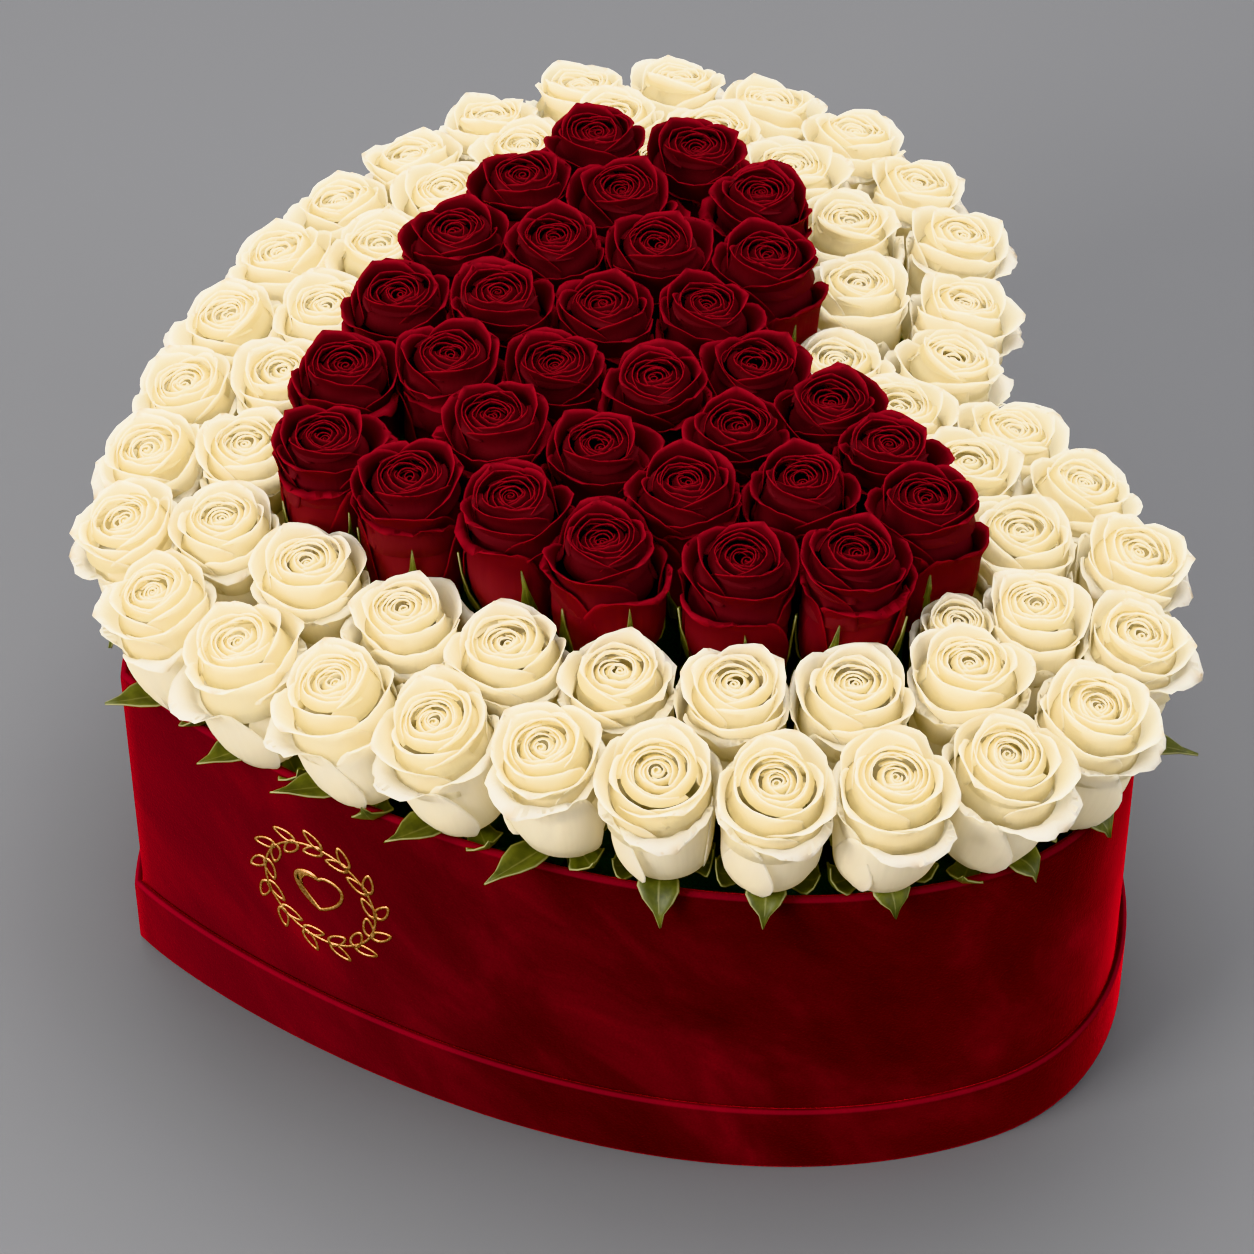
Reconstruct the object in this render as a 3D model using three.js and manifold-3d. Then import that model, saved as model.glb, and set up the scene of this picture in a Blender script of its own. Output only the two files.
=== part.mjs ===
// Rose heart arrangement: white roses round a raised heart of dark-red roses, in a velvet heart box
// that stands in its own lid. Millimetres, +Z up. The heart's axis of symmetry lies along Y, with its
// point at -Y and its notch at +Y. The origin is on the lid's underside, below the middle of the box.
import * as THREE from "three";
import { mergeVertices } from "three/addons/utils/BufferGeometryUtils.js";
import Module from "manifold-3d";

const wasm = await Module();
wasm.setup();

// Heart outline, measured on the outer face of the box wall
const HALF_WIDTH = 250;
const TIP_Y = -215;
const TIP_ANGLE = THREE.MathUtils.degToRad(72); // between each side and the axis
const TIP_REACH = 52;
const WIDEST_Y = 93;
const SIDE_REACH = 170;
const LOBE_REACH = 124;
const NOTCH_Y = 171;
const NOTCH_ANGLE = THREE.MathUtils.degToRad(28);
const NOTCH_REACH = 82;
const SIDE_STEPS = 12;
const LOBE_STEPS = 13;
const NOTCH_ARC_STEPS = 5; // an outline moved inwards rounds the notch
const SEAM = 0.01; // points nearer to the axis than this give way to the crossing with the axis
const LOBE_MIDDLE_X = 90;
const LOBE_MIDDLE_Y = 40;

// Box, the lid it stands in, and the floral foam inside it
const RIM_Z = 167;
const WALL = 4;
const FLOOR = 3;
const LID_BASE = 3;
const LID_TOP_Z = 37;
const LID_CLEARANCE = 0.4;
const LID_WALL = 2.4;
const FOAM_CLEARANCE = 0.5;
const FOAM_TOP_Z = 150;
const CUT_PAST = 5; // how far a cut runs past the face it opens

// Rose head, before its neighbours squeeze it
const PETALS = 5;
const HEAD_HEIGHT = 60; // from the calyx to the middle of the spiral
const BOTTOM_RADIUS = 8;
const STEM_RADIUS = 3;
const STEM_FOOT_Z = 116;
const HOLE_SIDES = 4;
const HOLE_RADIUS = 4.9;
const HOLE_BOTTOM_Z = 114;
const NECK_DROP = 9;
const CALYX_RADIUS = 7;
const CALYX_DEPTH = 3;
const CALYX_MIDDLE = 2.1;
const SEAT_GAP = 0.3;
const CELL_GAP = 0.2; // kept on each side of the plane between two neighbours
const CELL_SOFTNESS = 5;
const LINK_OVERLAP = 0.9; // how far joined neighbours reach past that plane
const LINK_HEIGHT = 51; // where on the head they meet
const NEIGHBOUR_REACH = 80;
const SEPAL_REACH = 21;
const SEPAL_TIP_HEIGHT = 1;
const SEPAL_CROSSING = 1.35; // where joined sepals end, as a share of the way to where they meet
const OVER_RIM = 5; // how far outside the wall the hanging sepals bend down
const HANG_OUT = 10;
const HANG_DROP = 13;
const HANG_WIDTH = 7;
const NOTCH_WIDTH = 60; // no sepals hang where the lobes face each other
const SEPAL_RISE = 2.6;
const SEPAL_THICKNESS = 1.6;
const WELD = 1e-4;

// Rows of roses that follow the outline. Inset is measured inwards at the height of the spiral, and
// phase is the share of a step between the heart's point and the first rose. The roses round the
// notch stand a little off their even places: moved lists which, with their shift in x and y.
const RINGS = [
  {
    row: "white_outer",
    count: 30,
    inset: 2.5,
    phase: 0.5,
    lean: 14,
    headZ: 235,
    perGroup: 3,
    moved: [
      [12, -2, -12], [13, 0, -22], [14, -8, -8], [15, -9, 13],
      [16, -9, 12], [17, -7, 9], [18, -4, 5],
    ],
  },
  {
    row: "white_inner",
    count: 24,
    inset: 47,
    phase: 0,
    lean: 4,
    headZ: 246,
    perGroup: 4,
    moved: [[9, 0, -6], [10, 0, -14], [11, 0, -12], [13, -4, 6], [14, -3, 5]],
  },
  {
    row: "red_outer",
    count: 19,
    inset: 98,
    phase: 0,
    lean: 3,
    headZ: 276,
    perGroup: 4,
    free: true,
    moved: [],
  },
];
// Roses inside the rings: red ones in each lobe and in the middle of the heart, before they spread
// out, and a small white one in each lobe
const RED_LOBE = { row: "red_lobe", headZ: 280, places: [[106, 64], [60, 64], [82, 26], [28, 26]] };
const RED_MIDDLE = {
  row: "red_middle",
  headZ: 281,
  places: [[-52, -12], [0, -12], [52, -12], [26, -50], [-26, -50]],
};
const FILLER = { x: 172, y: 106, headZ: 240, lean: 3, size: 0.76 };
// Largest difference between one rose and the next of its row
const SIZE_VARIATION = 0.03;
const HEIGHT_VARIATION = 2.5;
const SLOPE_VARIATION = 0.025;
const RELAX_ROUNDS = 120;
const ROSE_SPACING = 46.5;

// Layers of petals from the calyx to the bud: radius and height at the tip of a petal and between
// two petals. The second layer stands between the petals of the first.
const BELLY = { radius: 23, height: 20 };
const OUTER_RIM = { radius: [26.5, 23.5], height: [54, 49] };
const GROOVE = { radius: 19.5, height: 43 };
const INNER_RIM = { radius: [14.5, 16.8], height: [56, 61] };
const BUD_GROOVE = { radius: 11, height: 50 };
const BUD_RIM = { radius: 7.5, height: 63 };

// Fixed draw in the range -1 to 1 for a rose and a purpose
function draw(index, purpose) {
  const value = Math.sin(index * 12.9898 + purpose * 78.233) * 43758.5453;
  return 2 * (value - Math.floor(value)) - 1;
}

function plane(x, y) {
  return new THREE.Vector2(x, y);
}

const sideCurve = new THREE.CubicBezierCurve(
  plane(0, TIP_Y),
  plane(TIP_REACH * Math.sin(TIP_ANGLE), TIP_Y + TIP_REACH * Math.cos(TIP_ANGLE)),
  plane(HALF_WIDTH, WIDEST_Y - SIDE_REACH),
  plane(HALF_WIDTH, WIDEST_Y),
);
const lobeCurve = new THREE.CubicBezierCurve(
  plane(HALF_WIDTH, WIDEST_Y),
  plane(HALF_WIDTH, WIDEST_Y + LOBE_REACH),
  plane(NOTCH_REACH * Math.sin(NOTCH_ANGLE), NOTCH_Y + NOTCH_REACH * Math.cos(NOTCH_ANGLE)),
  plane(0, NOTCH_Y),
);

// Where the line through two points meets the axis of symmetry
function onAxis(from, to) {
  const share = from.x / (from.x - to.x);
  return plane(0, from.y + share * (to.y - from.y));
}

// Right half of the outline from the tip to the notch, moved outwards by offset
function rightHalf(offset, sideSteps, lobeSteps) {
  const points = [];
  const parts = [[sideCurve, sideSteps, 0], [lobeCurve, lobeSteps, 1]];
  for (const [curve, steps, first] of parts) {
    for (let i = first; i <= steps; i += 1) {
      const along = curve.getTangentAt(i / steps);
      const point = curve.getPointAt(i / steps);
      point.add(plane(along.y, -along.x).multiplyScalar(offset));
      points.push(point);
    }
  }
  const first = points.findIndex((point) => point.x > SEAM);
  const last = points.findLastIndex((point) => point.x > SEAM);
  const kept = points.slice(first, last + 1);
  const tip = onAxis(kept[0], points[first - 1] ?? kept[1]);
  if (offset < 0) {
    const end = kept.at(-1);
    const start = Math.atan2(end.y - NOTCH_Y, end.x);
    for (let i = 1; i <= NOTCH_ARC_STEPS; i += 1) {
      const angle = start + ((-Math.PI / 2 - start) * i) / NOTCH_ARC_STEPS;
      kept.push(plane(-offset * Math.cos(angle), NOTCH_Y - offset * Math.sin(angle)));
    }
    kept.at(-1).x = 0;
  } else {
    kept.push(onAxis(kept.at(-1), points[last + 1]));
  }
  return [tip, ...kept];
}

function heartOutline(offset) {
  const right = rightHalf(offset, SIDE_STEPS, LOBE_STEPS);
  const left = right.slice(1, -1).reverse();
  return [...right, ...left.map((point) => plane(-point.x, point.y))];
}

const WALL_OUTLINE = heartOutline(0);

// Points at equal steps along a closed polyline, the first a share of a step past its start
function equalSteps(outline, count, phase) {
  const ends = outline.map((point, i) => outline[(i + 1) % outline.length]);
  const lengths = outline.map((point, i) => point.distanceTo(ends[i]));
  const total = lengths.reduce((sum, length) => sum + length, 0);
  const placed = [];
  let segment = 0;
  let passed = 0;
  for (let i = 0; i < count; i += 1) {
    const wanted = (total * (i + phase)) / count;
    while (passed + lengths[segment] < wanted) {
      passed += lengths[segment];
      segment += 1;
    }
    placed.push(outline[segment].clone().lerp(ends[segment], (wanted - passed) / lengths[segment]));
  }
  return placed;
}

// Direction in plan that leads away from the line between the middles of the two lobes
function outwards(point) {
  const nearest = Math.min(Math.abs(point.x), LOBE_MIDDLE_X);
  const middle = plane(Math.sign(point.x) * nearest, LOBE_MIDDLE_Y);
  return point.clone().sub(middle).normalize();
}

function rose(row, head, headZ, lean, size, free) {
  const slope = outwards(head).multiplyScalar(Math.tan(THREE.MathUtils.degToRad(lean)));
  return { row, head, headZ, slope, size, free };
}

// Spreads the free roses until they stand evenly among the others. Of two free ones each moves
// half of the way.
function relax(roses) {
  for (let round = 0; round < RELAX_ROUNDS; round += 1) {
    for (const one of roses) {
      if (!one.free) continue;
      for (const other of roses) {
        const away = one.head.clone().sub(other.head);
        const wanted = (ROSE_SPACING * (one.size + other.size)) / 2;
        const short = wanted - away.length();
        if (other === one || short <= 0) continue;
        one.head.add(away.setLength(short * (other.free ? 0.25 : 0.5)));
      }
    }
  }
}

function allRoses() {
  const roses = [];
  for (const ring of RINGS) {
    const places = equalSteps(heartOutline(-ring.inset), ring.count, ring.phase);
    for (const [index, x, y] of ring.moved) places[index].add(plane(x, y));
    for (const place of places) {
      roses.push(rose(ring.row, place, ring.headZ, ring.lean, 1, ring.free));
    }
  }
  for (const side of [1, -1]) {
    for (const [x, y] of RED_LOBE.places) {
      roses.push(rose(RED_LOBE.row, plane(side * x, y), RED_LOBE.headZ, 0, 1, true));
    }
  }
  for (const [x, y] of RED_MIDDLE.places) {
    roses.push(rose(RED_MIDDLE.row, plane(x, y), RED_MIDDLE.headZ, 0, 1, true));
  }
  for (const side of [1, -1]) {
    const place = plane(side * FILLER.x, FILLER.y);
    roses.push(rose("white_filler", place, FILLER.headZ, FILLER.lean, FILLER.size, false));
  }
  relax(roses);
  roses.forEach((one, index) => {
    one.size *= 1 + SIZE_VARIATION * draw(index, 1);
    one.headZ += HEIGHT_VARIATION * draw(index, 2);
    one.slope.x += SLOPE_VARIATION * draw(index, 3);
    one.slope.y += SLOPE_VARIATION * draw(index, 4);
    const height = HEAD_HEIGHT * one.size;
    one.up = new THREE.Vector3(one.slope.x, one.slope.y, 1).normalize();
    one.base = new THREE.Vector3(one.head.x, one.head.y, one.headZ).addScaledVector(one.up, -height);
  });
  return roses;
}

// Where the axis of a rose passes a height
function axisAt(one, z) {
  const rise = z - one.base.z;
  return plane(one.base.x + one.slope.x * rise, one.base.y + one.slope.y * rise);
}

// Keeps a point of a rose on its own side of the planes between it and its unlinked neighbours
function keepInCell(one, point, neighbours) {
  const own = axisAt(one, point.z);
  for (const other of neighbours) {
    const theirs = axisAt(other, point.z);
    const normal = theirs.clone().sub(own).normalize();
    const share = one.size / (one.size + other.size);
    const border = own.clone().lerp(theirs, share);
    const past = normal.dot(plane(point.x - border.x, point.y - border.y));
    if (past <= -CELL_SOFTNESS) continue;
    const room = CELL_SOFTNESS - CELL_GAP;
    const kept = -CELL_GAP - room * Math.exp(-(past + CELL_SOFTNESS) / room);
    point.x += normal.x * (kept - past);
    point.y += normal.y * (kept - past);
  }
}

// Local frame of a rose: its axis, and two directions square to it
function frameOf(one) {
  const across = new THREE.Vector3(1, 0, 0);
  across.addScaledVector(one.up, -across.dot(one.up)).normalize();
  return { across, ahead: one.up.clone().cross(across) };
}

function placed(one, angle, radius, height) {
  const { across, ahead } = frameOf(one);
  return one.base
    .clone()
    .addScaledVector(one.up, height)
    .addScaledVector(across, radius * Math.cos(angle))
    .addScaledVector(ahead, radius * Math.sin(angle));
}

function angleTo(one, other) {
  return Math.atan2(other.base.y - one.base.y, other.base.x - one.base.x);
}

// Angles of count steps round a rose that hit both its joined neighbours, whichever it has
function turns(one, count, farSteps) {
  const start = one.next ? angleTo(one, one.next) : angleTo(one, one.previous) + Math.PI;
  let far = one.previous ? angleTo(one, one.previous) : start + Math.PI;
  while (far <= start) far += 2 * Math.PI;
  const angles = [];
  for (let i = 0; i < count; i += 1) {
    const before = start + ((far - start) * i) / farSteps;
    const after = far + ((start + 2 * Math.PI - far) * (i - farSteps)) / (count - farSteps);
    angles.push(i <= farSteps ? before : after);
  }
  return angles;
}

// Moves a rim point to just past the plane that a rose shares with a joined neighbour
function reachTo(one, other, point) {
  const heights = [one, other].map((each) => each.base.z + LINK_HEIGHT * each.size);
  point.z = (heights[0] + heights[1]) / 2;
  const own = axisAt(one, point.z);
  const theirs = axisAt(other, point.z);
  const share = one.size / (one.size + other.size);
  const normal = theirs.clone().sub(own).normalize();
  const reach = own.lerp(theirs, share).addScaledVector(normal, LINK_OVERLAP);
  point.x = reach.x;
  point.y = reach.y;
}

function geometryOf(points, faces) {
  const geometry = new THREE.BufferGeometry();
  const values = points.flatMap((point) => [point.x, point.y, point.z]);
  geometry.setAttribute("position", new THREE.Float32BufferAttribute(values, 3));
  geometry.setIndex(faces.flat());
  return geometry;
}

// Faces between two rings of points given by their indices, seen from outside with the second above
function band(lower, upper) {
  const faces = [];
  const step = upper.length / lower.length;
  if (step === 1) {
    lower.forEach((a, i) => {
      const j = (i + 1) % lower.length;
      faces.push([a, lower[j], upper[j]], [a, upper[j], upper[i]]);
    });
  } else {
    lower.forEach((a, i) => {
      const b = lower[(i + 1) % lower.length];
      const left = upper[2 * i];
      const middle = upper[2 * i + 1];
      const right = upper[(2 * i + 2) % upper.length];
      faces.push([a, middle, left], [a, b, middle], [b, right, middle]);
    });
  }
  return faces;
}

function flipped(faces) {
  return faces.map(([a, b, c]) => [a, c, b]);
}

function fan(ring) {
  return ring.slice(1, -1).map((point, i) => [ring[0], point, ring[i + 2]]);
}

// A rose head: five petals in each of two scalloped layers round a bud
function headGeometry(one) {
  const points = [];
  const angles = turns(one, 2 * PETALS, PETALS);
  const petalAngles = angles.filter((angle, i) => i % 2 === 0);
  const ringOf = (layer) => {
    const single = typeof layer.radius === "number";
    return (single ? petalAngles : angles).map((angle, i) => {
      const radius = single ? layer.radius : layer.radius[i % 2];
      const height = single ? layer.height : layer.height[i % 2];
      points.push(placed(one, angle, radius * one.size, height * one.size));
      return points.length - 1;
    });
  };
  const bottom = ringOf({ radius: BOTTOM_RADIUS, height: 0 });
  const belly = ringOf(BELLY);
  const outerRim = ringOf(OUTER_RIM);
  const groove = ringOf(GROOVE);
  const innerRim = ringOf(INNER_RIM);
  const budGroove = ringOf(BUD_GROOVE);
  const budRim = ringOf(BUD_RIM);
  const links = new Map([[outerRim[0], one.next], [outerRim[PETALS], one.previous]]);
  points.forEach((point, index) => {
    const link = links.get(index);
    keepInCell(one, point, one.neighbours.filter((other) => other !== link));
    if (link) reachTo(one, link, point);
  });
  return geometryOf(points, [
    ...flipped(fan(bottom)),
    ...band(bottom, belly),
    ...band(belly, outerRim),
    ...flipped(band(groove, outerRim)),
    ...band(groove, innerRim),
    ...flipped(band(budGroove, innerRim)),
    ...band(budGroove, budRim),
    ...fan(budRim),
  ]);
}

// How far the wall's outer face lies from a point in a direction
function wallDistance(point, angle) {
  const along = plane(Math.cos(angle), Math.sin(angle));
  const from = plane(point.x, point.y);
  const distances = WALL_OUTLINE.map((start, i) => {
    const edge = WALL_OUTLINE[(i + 1) % WALL_OUTLINE.length].clone().sub(start);
    const lead = start.clone().sub(from);
    const turn = along.cross(edge);
    const distance = lead.cross(edge) / turn;
    const share = lead.cross(along) / turn;
    return distance > 0 && share >= 0 && share <= 1 ? distance : Infinity;
  });
  return Math.min(...distances);
}

// Sepal tips: joined neighbours meet over the middle, the outer row's sepals hang over the box rim
function sepalOf(one, angle, target) {
  if (target) {
    const meeting = one.base.clone().lerp(target.base, one.size / (one.size + target.size));
    meeting.z -= CALYX_MIDDLE;
    const root = placed(one, angle, CALYX_RADIUS, -CALYX_MIDDLE);
    return { tip: root.lerp(meeting, SEPAL_CROSSING) };
  }
  const wall = wallDistance(one.base, angle);
  const inNotch = one.base.y > WIDEST_Y && Math.abs(one.base.x) < NOTCH_WIDTH;
  if (wall < SEPAL_REACH && !inNotch) {
    const radius = wall + OVER_RIM;
    return { tip: placed(one, angle, radius + HANG_OUT, -HANG_DROP), bend: radius };
  }
  const tip = placed(one, angle, SEPAL_REACH, SEPAL_TIP_HEIGHT);
  tip.z = Math.max(tip.z, RIM_Z + SEPAL_RISE);
  return { tip };
}

// The green parts of a rose: stem, calyx and five sepals
function greenGeometry(one) {
  const points = [];
  const add = (point) => {
    points.push(point);
    return points.length - 1;
  };
  const angles = turns(one, PETALS, one.farSepal);
  const between = angles.map((angle, i) => {
    const after = angles[(i + 1) % PETALS] + (i + 1 === PETALS ? 2 * Math.PI : 0);
    return (angle + after) / 2;
  });
  const neck = one.base.clone().addScaledVector(one.up, -NECK_DROP);
  const foot = neck.clone().setZ(STEM_FOOT_Z);
  const stemRing = (centre) =>
    between.map((angle) => {
      const side = new THREE.Vector3(Math.cos(angle), Math.sin(angle), 0);
      return add(centre.clone().addScaledVector(side, STEM_RADIUS));
    });
  const footRing = stemRing(foot);
  const neckRing = stemRing(neck);
  const valleys = between.map((angle) => add(placed(one, angle, CALYX_RADIUS, -CALYX_DEPTH)));
  const faces = [...flipped(fan(footRing)), ...band(footRing, neckRing), ...band(neckRing, valleys)];
  const rim = [];
  angles.forEach((angle, i) => {
    const left = valleys[(i + PETALS - 1) % PETALS];
    const right = valleys[i];
    const ridge = add(placed(one, angle, CALYX_RADIUS, -SEAT_GAP));
    rim.push(ridge, right);
    const linked = i === 0 ? one.next : i === one.farSepal ? one.previous : undefined;
    const sepal = sepalOf(one, angle, linked);
    if (!linked) keepInCell(one, sepal.tip, one.neighbours);
    const tip = add(sepal.tip);
    let section = [left, right, ridge];
    if (sepal.bend) {
      const spread = HANG_WIDTH / sepal.bend;
      const wide = [angle - spread, angle + spread, angle].map((turn) =>
        placed(one, turn, sepal.bend, 0),
      );
      wide.forEach((point, k) => {
        point.z = RIM_Z + (k < 2 ? SEPAL_RISE : SEPAL_RISE + SEPAL_THICKNESS);
        keepInCell(one, point, one.neighbours);
      });
      const next = wide.map(add);
      faces.push(...band(section, next));
      section = next;
    }
    section.forEach((a, k) => faces.push([a, section[(k + 1) % 3], tip]));
  });
  faces.push(...fan(rim));
  return geometryOf(points, faces);
}

function solidOf(geometry) {
  const merged = mergeVertices(geometry, WELD);
  return new wasm.Manifold(
    new wasm.Mesh({
      numProp: 3,
      vertProperties: merged.attributes.position.array,
      triVerts: new Uint32Array(merged.index.array),
    }),
  );
}

function geometryFrom(solid) {
  const mesh = solid.getMesh();
  const geometry = new THREE.BufferGeometry();
  geometry.setAttribute("position", new THREE.BufferAttribute(mesh.vertProperties, 3));
  geometry.setIndex(new THREE.BufferAttribute(mesh.triVerts, 1));
  return geometry;
}

function joined(geometries) {
  return geometryFrom(geometries.map(solidOf).reduce((sum, next) => sum.add(next)));
}

function extruded(outline, fromZ, toZ) {
  const shape = new THREE.Shape(outline);
  const geometry = new THREE.ExtrudeGeometry(shape, { depth: toZ - fromZ, bevelEnabled: false });
  geometry.deleteAttribute("normal");
  geometry.deleteAttribute("uv");
  return geometry.translate(0, 0, fromZ);
}

function tray(outerOffset, wall, fromZ, floor, toZ) {
  const body = solidOf(extruded(heartOutline(outerOffset), fromZ, toZ));
  const inner = heartOutline(outerOffset - wall);
  const inside = solidOf(extruded(inner, fromZ + floor, toZ + CUT_PAST));
  return geometryFrom(body.subtract(inside));
}

function foamGeometry(roses) {
  const outline = heartOutline(-WALL - FOAM_CLEARANCE);
  const block = solidOf(extruded(outline, LID_BASE + FLOOR, FOAM_TOP_Z));
  return geometryFrom(
    roses.reduce((rest, one) => {
      const neck = one.base.clone().addScaledVector(one.up, -NECK_DROP);
      const corners = [];
      for (let i = 0; i < HOLE_SIDES; i += 1) {
        const angle = (2 * Math.PI * i) / HOLE_SIDES;
        corners.push(plane(neck.x + HOLE_RADIUS * Math.cos(angle), neck.y + HOLE_RADIUS * Math.sin(angle)));
      }
      return rest.subtract(solidOf(extruded(corners, HOLE_BOTTOM_Z, FOAM_TOP_Z + CUT_PAST)));
    }, block),
  );
}

// Splits the roses of each row into runs of joined neighbours. A filler joins the nearest end of an
// inner white run.
function groupsOf(roses) {
  const lobe = { row: RED_LOBE.row, perGroup: RED_LOBE.places.length };
  const middle = { row: RED_MIDDLE.row, perGroup: RED_MIDDLE.places.length };
  const groups = [];
  for (const { row, perGroup } of [...RINGS, lobe, middle]) {
    const members = roses.filter((one) => one.row === row);
    for (let i = 0; i < members.length; i += perGroup) {
      groups.push({ row, members: members.slice(i, i + perGroup) });
    }
  }
  const fillers = roses.filter((one) => one.row === "white_filler");
  for (const filler of fillers) {
    const ends = groups.filter((group) => group.row === "white_inner");
    const gap = (group) => group.members.at(-1).head.distanceTo(filler.head);
    const lead = (group) => group.members[0].head.distanceTo(filler.head);
    ends.sort((a, b) => Math.min(gap(a), lead(a)) - Math.min(gap(b), lead(b)));
    if (gap(ends[0]) < lead(ends[0])) ends[0].members.push(filler);
    else ends[0].members.unshift(filler);
  }
  for (const { members } of groups) {
    members.forEach((one, i) => {
      one.next = members[i + 1];
      one.previous = members[i - 1];
    });
  }
  return groups;
}

const COLOURS = {
  velvet: { color: 0x8a0718, roughness: 0.85, metalness: 0 },
  white: { color: 0xf4ead0, roughness: 0.6, metalness: 0 },
  red: { color: 0x7d0010, roughness: 0.65, metalness: 0 },
  green: { color: 0x4a551d, roughness: 0.6, metalness: 0 },
  foam: { color: 0x35563a, roughness: 0.95, metalness: 0 },
};

function meshOf(name, geometry, colour) {
  const mesh = new THREE.Mesh(geometry, new THREE.MeshStandardMaterial(COLOURS[colour]));
  mesh.name = name;
  return mesh;
}

const arrangement = new THREE.Group();
arrangement.name = "rose_heart_arrangement";

const roses = allRoses();
const groups = groupsOf(roses);
for (const one of roses) {
  one.neighbours = roses.filter(
    (other) => other !== one && other.head.distanceTo(one.head) < NEIGHBOUR_REACH,
  );
  // The sepal that reaches back to the previous rose, counted from the one that reaches to the next
  one.farSepal = one.row === "white_outer" ? 2 : 3;
}

const lidOffset = LID_CLEARANCE + LID_WALL;
arrangement.add(meshOf("lid", tray(lidOffset, LID_WALL, 0, LID_BASE, LID_TOP_Z), "velvet"));
arrangement.add(meshOf("box", tray(0, WALL, LID_BASE, FLOOR, RIM_Z), "velvet"));
arrangement.add(meshOf("floral_foam", foamGeometry(roses), "foam"));
const rowCount = new Map();
for (const { row, members } of groups) {
  rowCount.set(row, (rowCount.get(row) ?? 0) + 1);
  const label = `${row}_${String(rowCount.get(row)).padStart(2, "0")}`;
  const colour = row.startsWith("white") ? "white" : "red";
  arrangement.add(meshOf(`blooms_${label}`, joined(members.map(headGeometry)), colour));
  arrangement.add(meshOf(`stems_${label}`, joined(members.map(greenGeometry)), "green"));
}

export default arrangement;
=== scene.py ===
# Rose heart arrangement: white roses round a raised heart of dark-red roses, in a velvet heart box
# that stands in its own lid. Shapes are worked out in millimetres in the CAD's own frame and turned
# to metres when a mesh is made.
import math
from dataclasses import dataclass

import bpy
import numpy as np
from mathutils import Matrix, Vector


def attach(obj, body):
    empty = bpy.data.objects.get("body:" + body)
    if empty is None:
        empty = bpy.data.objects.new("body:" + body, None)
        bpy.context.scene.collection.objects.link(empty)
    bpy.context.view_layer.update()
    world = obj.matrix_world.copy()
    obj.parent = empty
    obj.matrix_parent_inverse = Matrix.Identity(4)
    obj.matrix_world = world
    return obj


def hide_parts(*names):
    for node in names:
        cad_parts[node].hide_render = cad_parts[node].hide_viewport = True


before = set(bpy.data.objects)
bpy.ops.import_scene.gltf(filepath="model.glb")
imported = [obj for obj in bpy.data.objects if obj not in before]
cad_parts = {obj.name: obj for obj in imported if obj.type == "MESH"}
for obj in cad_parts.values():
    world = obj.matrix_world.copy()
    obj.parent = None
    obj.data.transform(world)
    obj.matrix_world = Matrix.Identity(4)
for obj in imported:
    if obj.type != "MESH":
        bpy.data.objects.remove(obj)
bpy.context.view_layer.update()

MM = 0.001
TURN = 2 * math.pi

# Camera, as the photograph was taken. The picture is square.
PICTURE_PIXELS = 1254
FOCAL_PIXELS = 4366.9
SENSOR_MM = 36.0
CAMERA_TARGET = (-2.93, 23.83, 110.65)
CAMERA_DISTANCE = 2013.0
CAMERA_AZIMUTH = math.radians(68.9)
CAMERA_ELEVATION = math.radians(43.2)
CAMERA_ROLL = math.radians(-0.2)

# Heart outline on the outer face of the box wall
HALF_WIDTH = 250.0
TIP_Y = -215.0
TIP_ANGLE = math.radians(72)
TIP_REACH = 52.0
WIDEST_Y = 93.0
SIDE_REACH = 170.0
LOBE_REACH = 124.0
NOTCH_Y = 171.0
NOTCH_ANGLE = math.radians(28)
NOTCH_REACH = 82.0
SIDE_STEPS = 12
LOBE_STEPS = 13
SMOOTH_STEPS = 96
NOTCH_ARC_STEPS = 5
CURVE_SAMPLES = 201
SEAM = 0.01  # what is no farther than this from the heart's axis counts as on it
NOTCH_HALF_WIDTH = 60.0  # no sepals hang there, where the lobes face each other
LOBE_MIDDLE = (90.0, 40.0)

# Box, lid and foam
RIM_Z = 167.0
WALL = 4.0
FLOOR = 3.0
LID_BASE = 3.0
LID_TOP_Z = 37.0
LID_GAP = 0.4
LID_WALL = 2.4
CLOTH = 1.2  # cloth and pile outside the lid's board
WRAP_ROUND = 1.1  # radius of the velvet folded under the edge of a wall
BELOW_RIM = 2.0  # from the rounded rim down to the first row of points on a wall
FLOOR_EDGE = 14.0  # from a wall's outer face to the last row of points on the bottom
WALL_ROWS = 6
WRAP_POINTS = 4
RIM_POINTS = 9
RIM_HIGHLIGHT_FROM = 0.9  # share of the rim's outer rounding that gets a painted highlight line
RIM_HIGHLIGHT_SHARE = 0.22  # how strong that painted highlight is, from 0 to 1
TIP_PAINTED_SHEEN = 0.1  # towards the heart's tip the velvet is painted lighter: painted sheen where its walls are seen at a grazing angle
TIP_SHEEN_REACH = 130.0

# Roses, as the CAD has them
HEAD_HEIGHT = 60.0
STEM_FOOT_Z = 116.0
STEM_RADIUS = 3.0
NECK_DROP = 20.0
NEIGHBOUR_REACH = 80.0
CELL_GAP = 0.25
CELL_SOFTNESS = 6.0
LAP_HEIGHTS = (34.0, 44.0)  # heights on a rose between which its petals come to lap over others
RIM_LAP = 4.0
EAR_FROM = 37.0  # height on a rose from which its outer petals fall open
EAR_RISE = 7.0
EAR_INSIDE = 14.0
EAR_DROP = 0.45
EAR_REACH = (0.5, 5.0)
RELAX_ROUNDS = 120
ROSE_SPACING = 46.5
PUSH_AMONG_FREE = 0.25  # share of a lack of room that one step makes good
PUSH_OFF_FIXED = 0.5
SIZE_VARIATION = 0.03
HEIGHT_VARIATION = 2.5
SLOPE_VARIATION = 0.025
DRAW_FACTORS = (12.9898, 78.233, 43758.5453)
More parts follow.
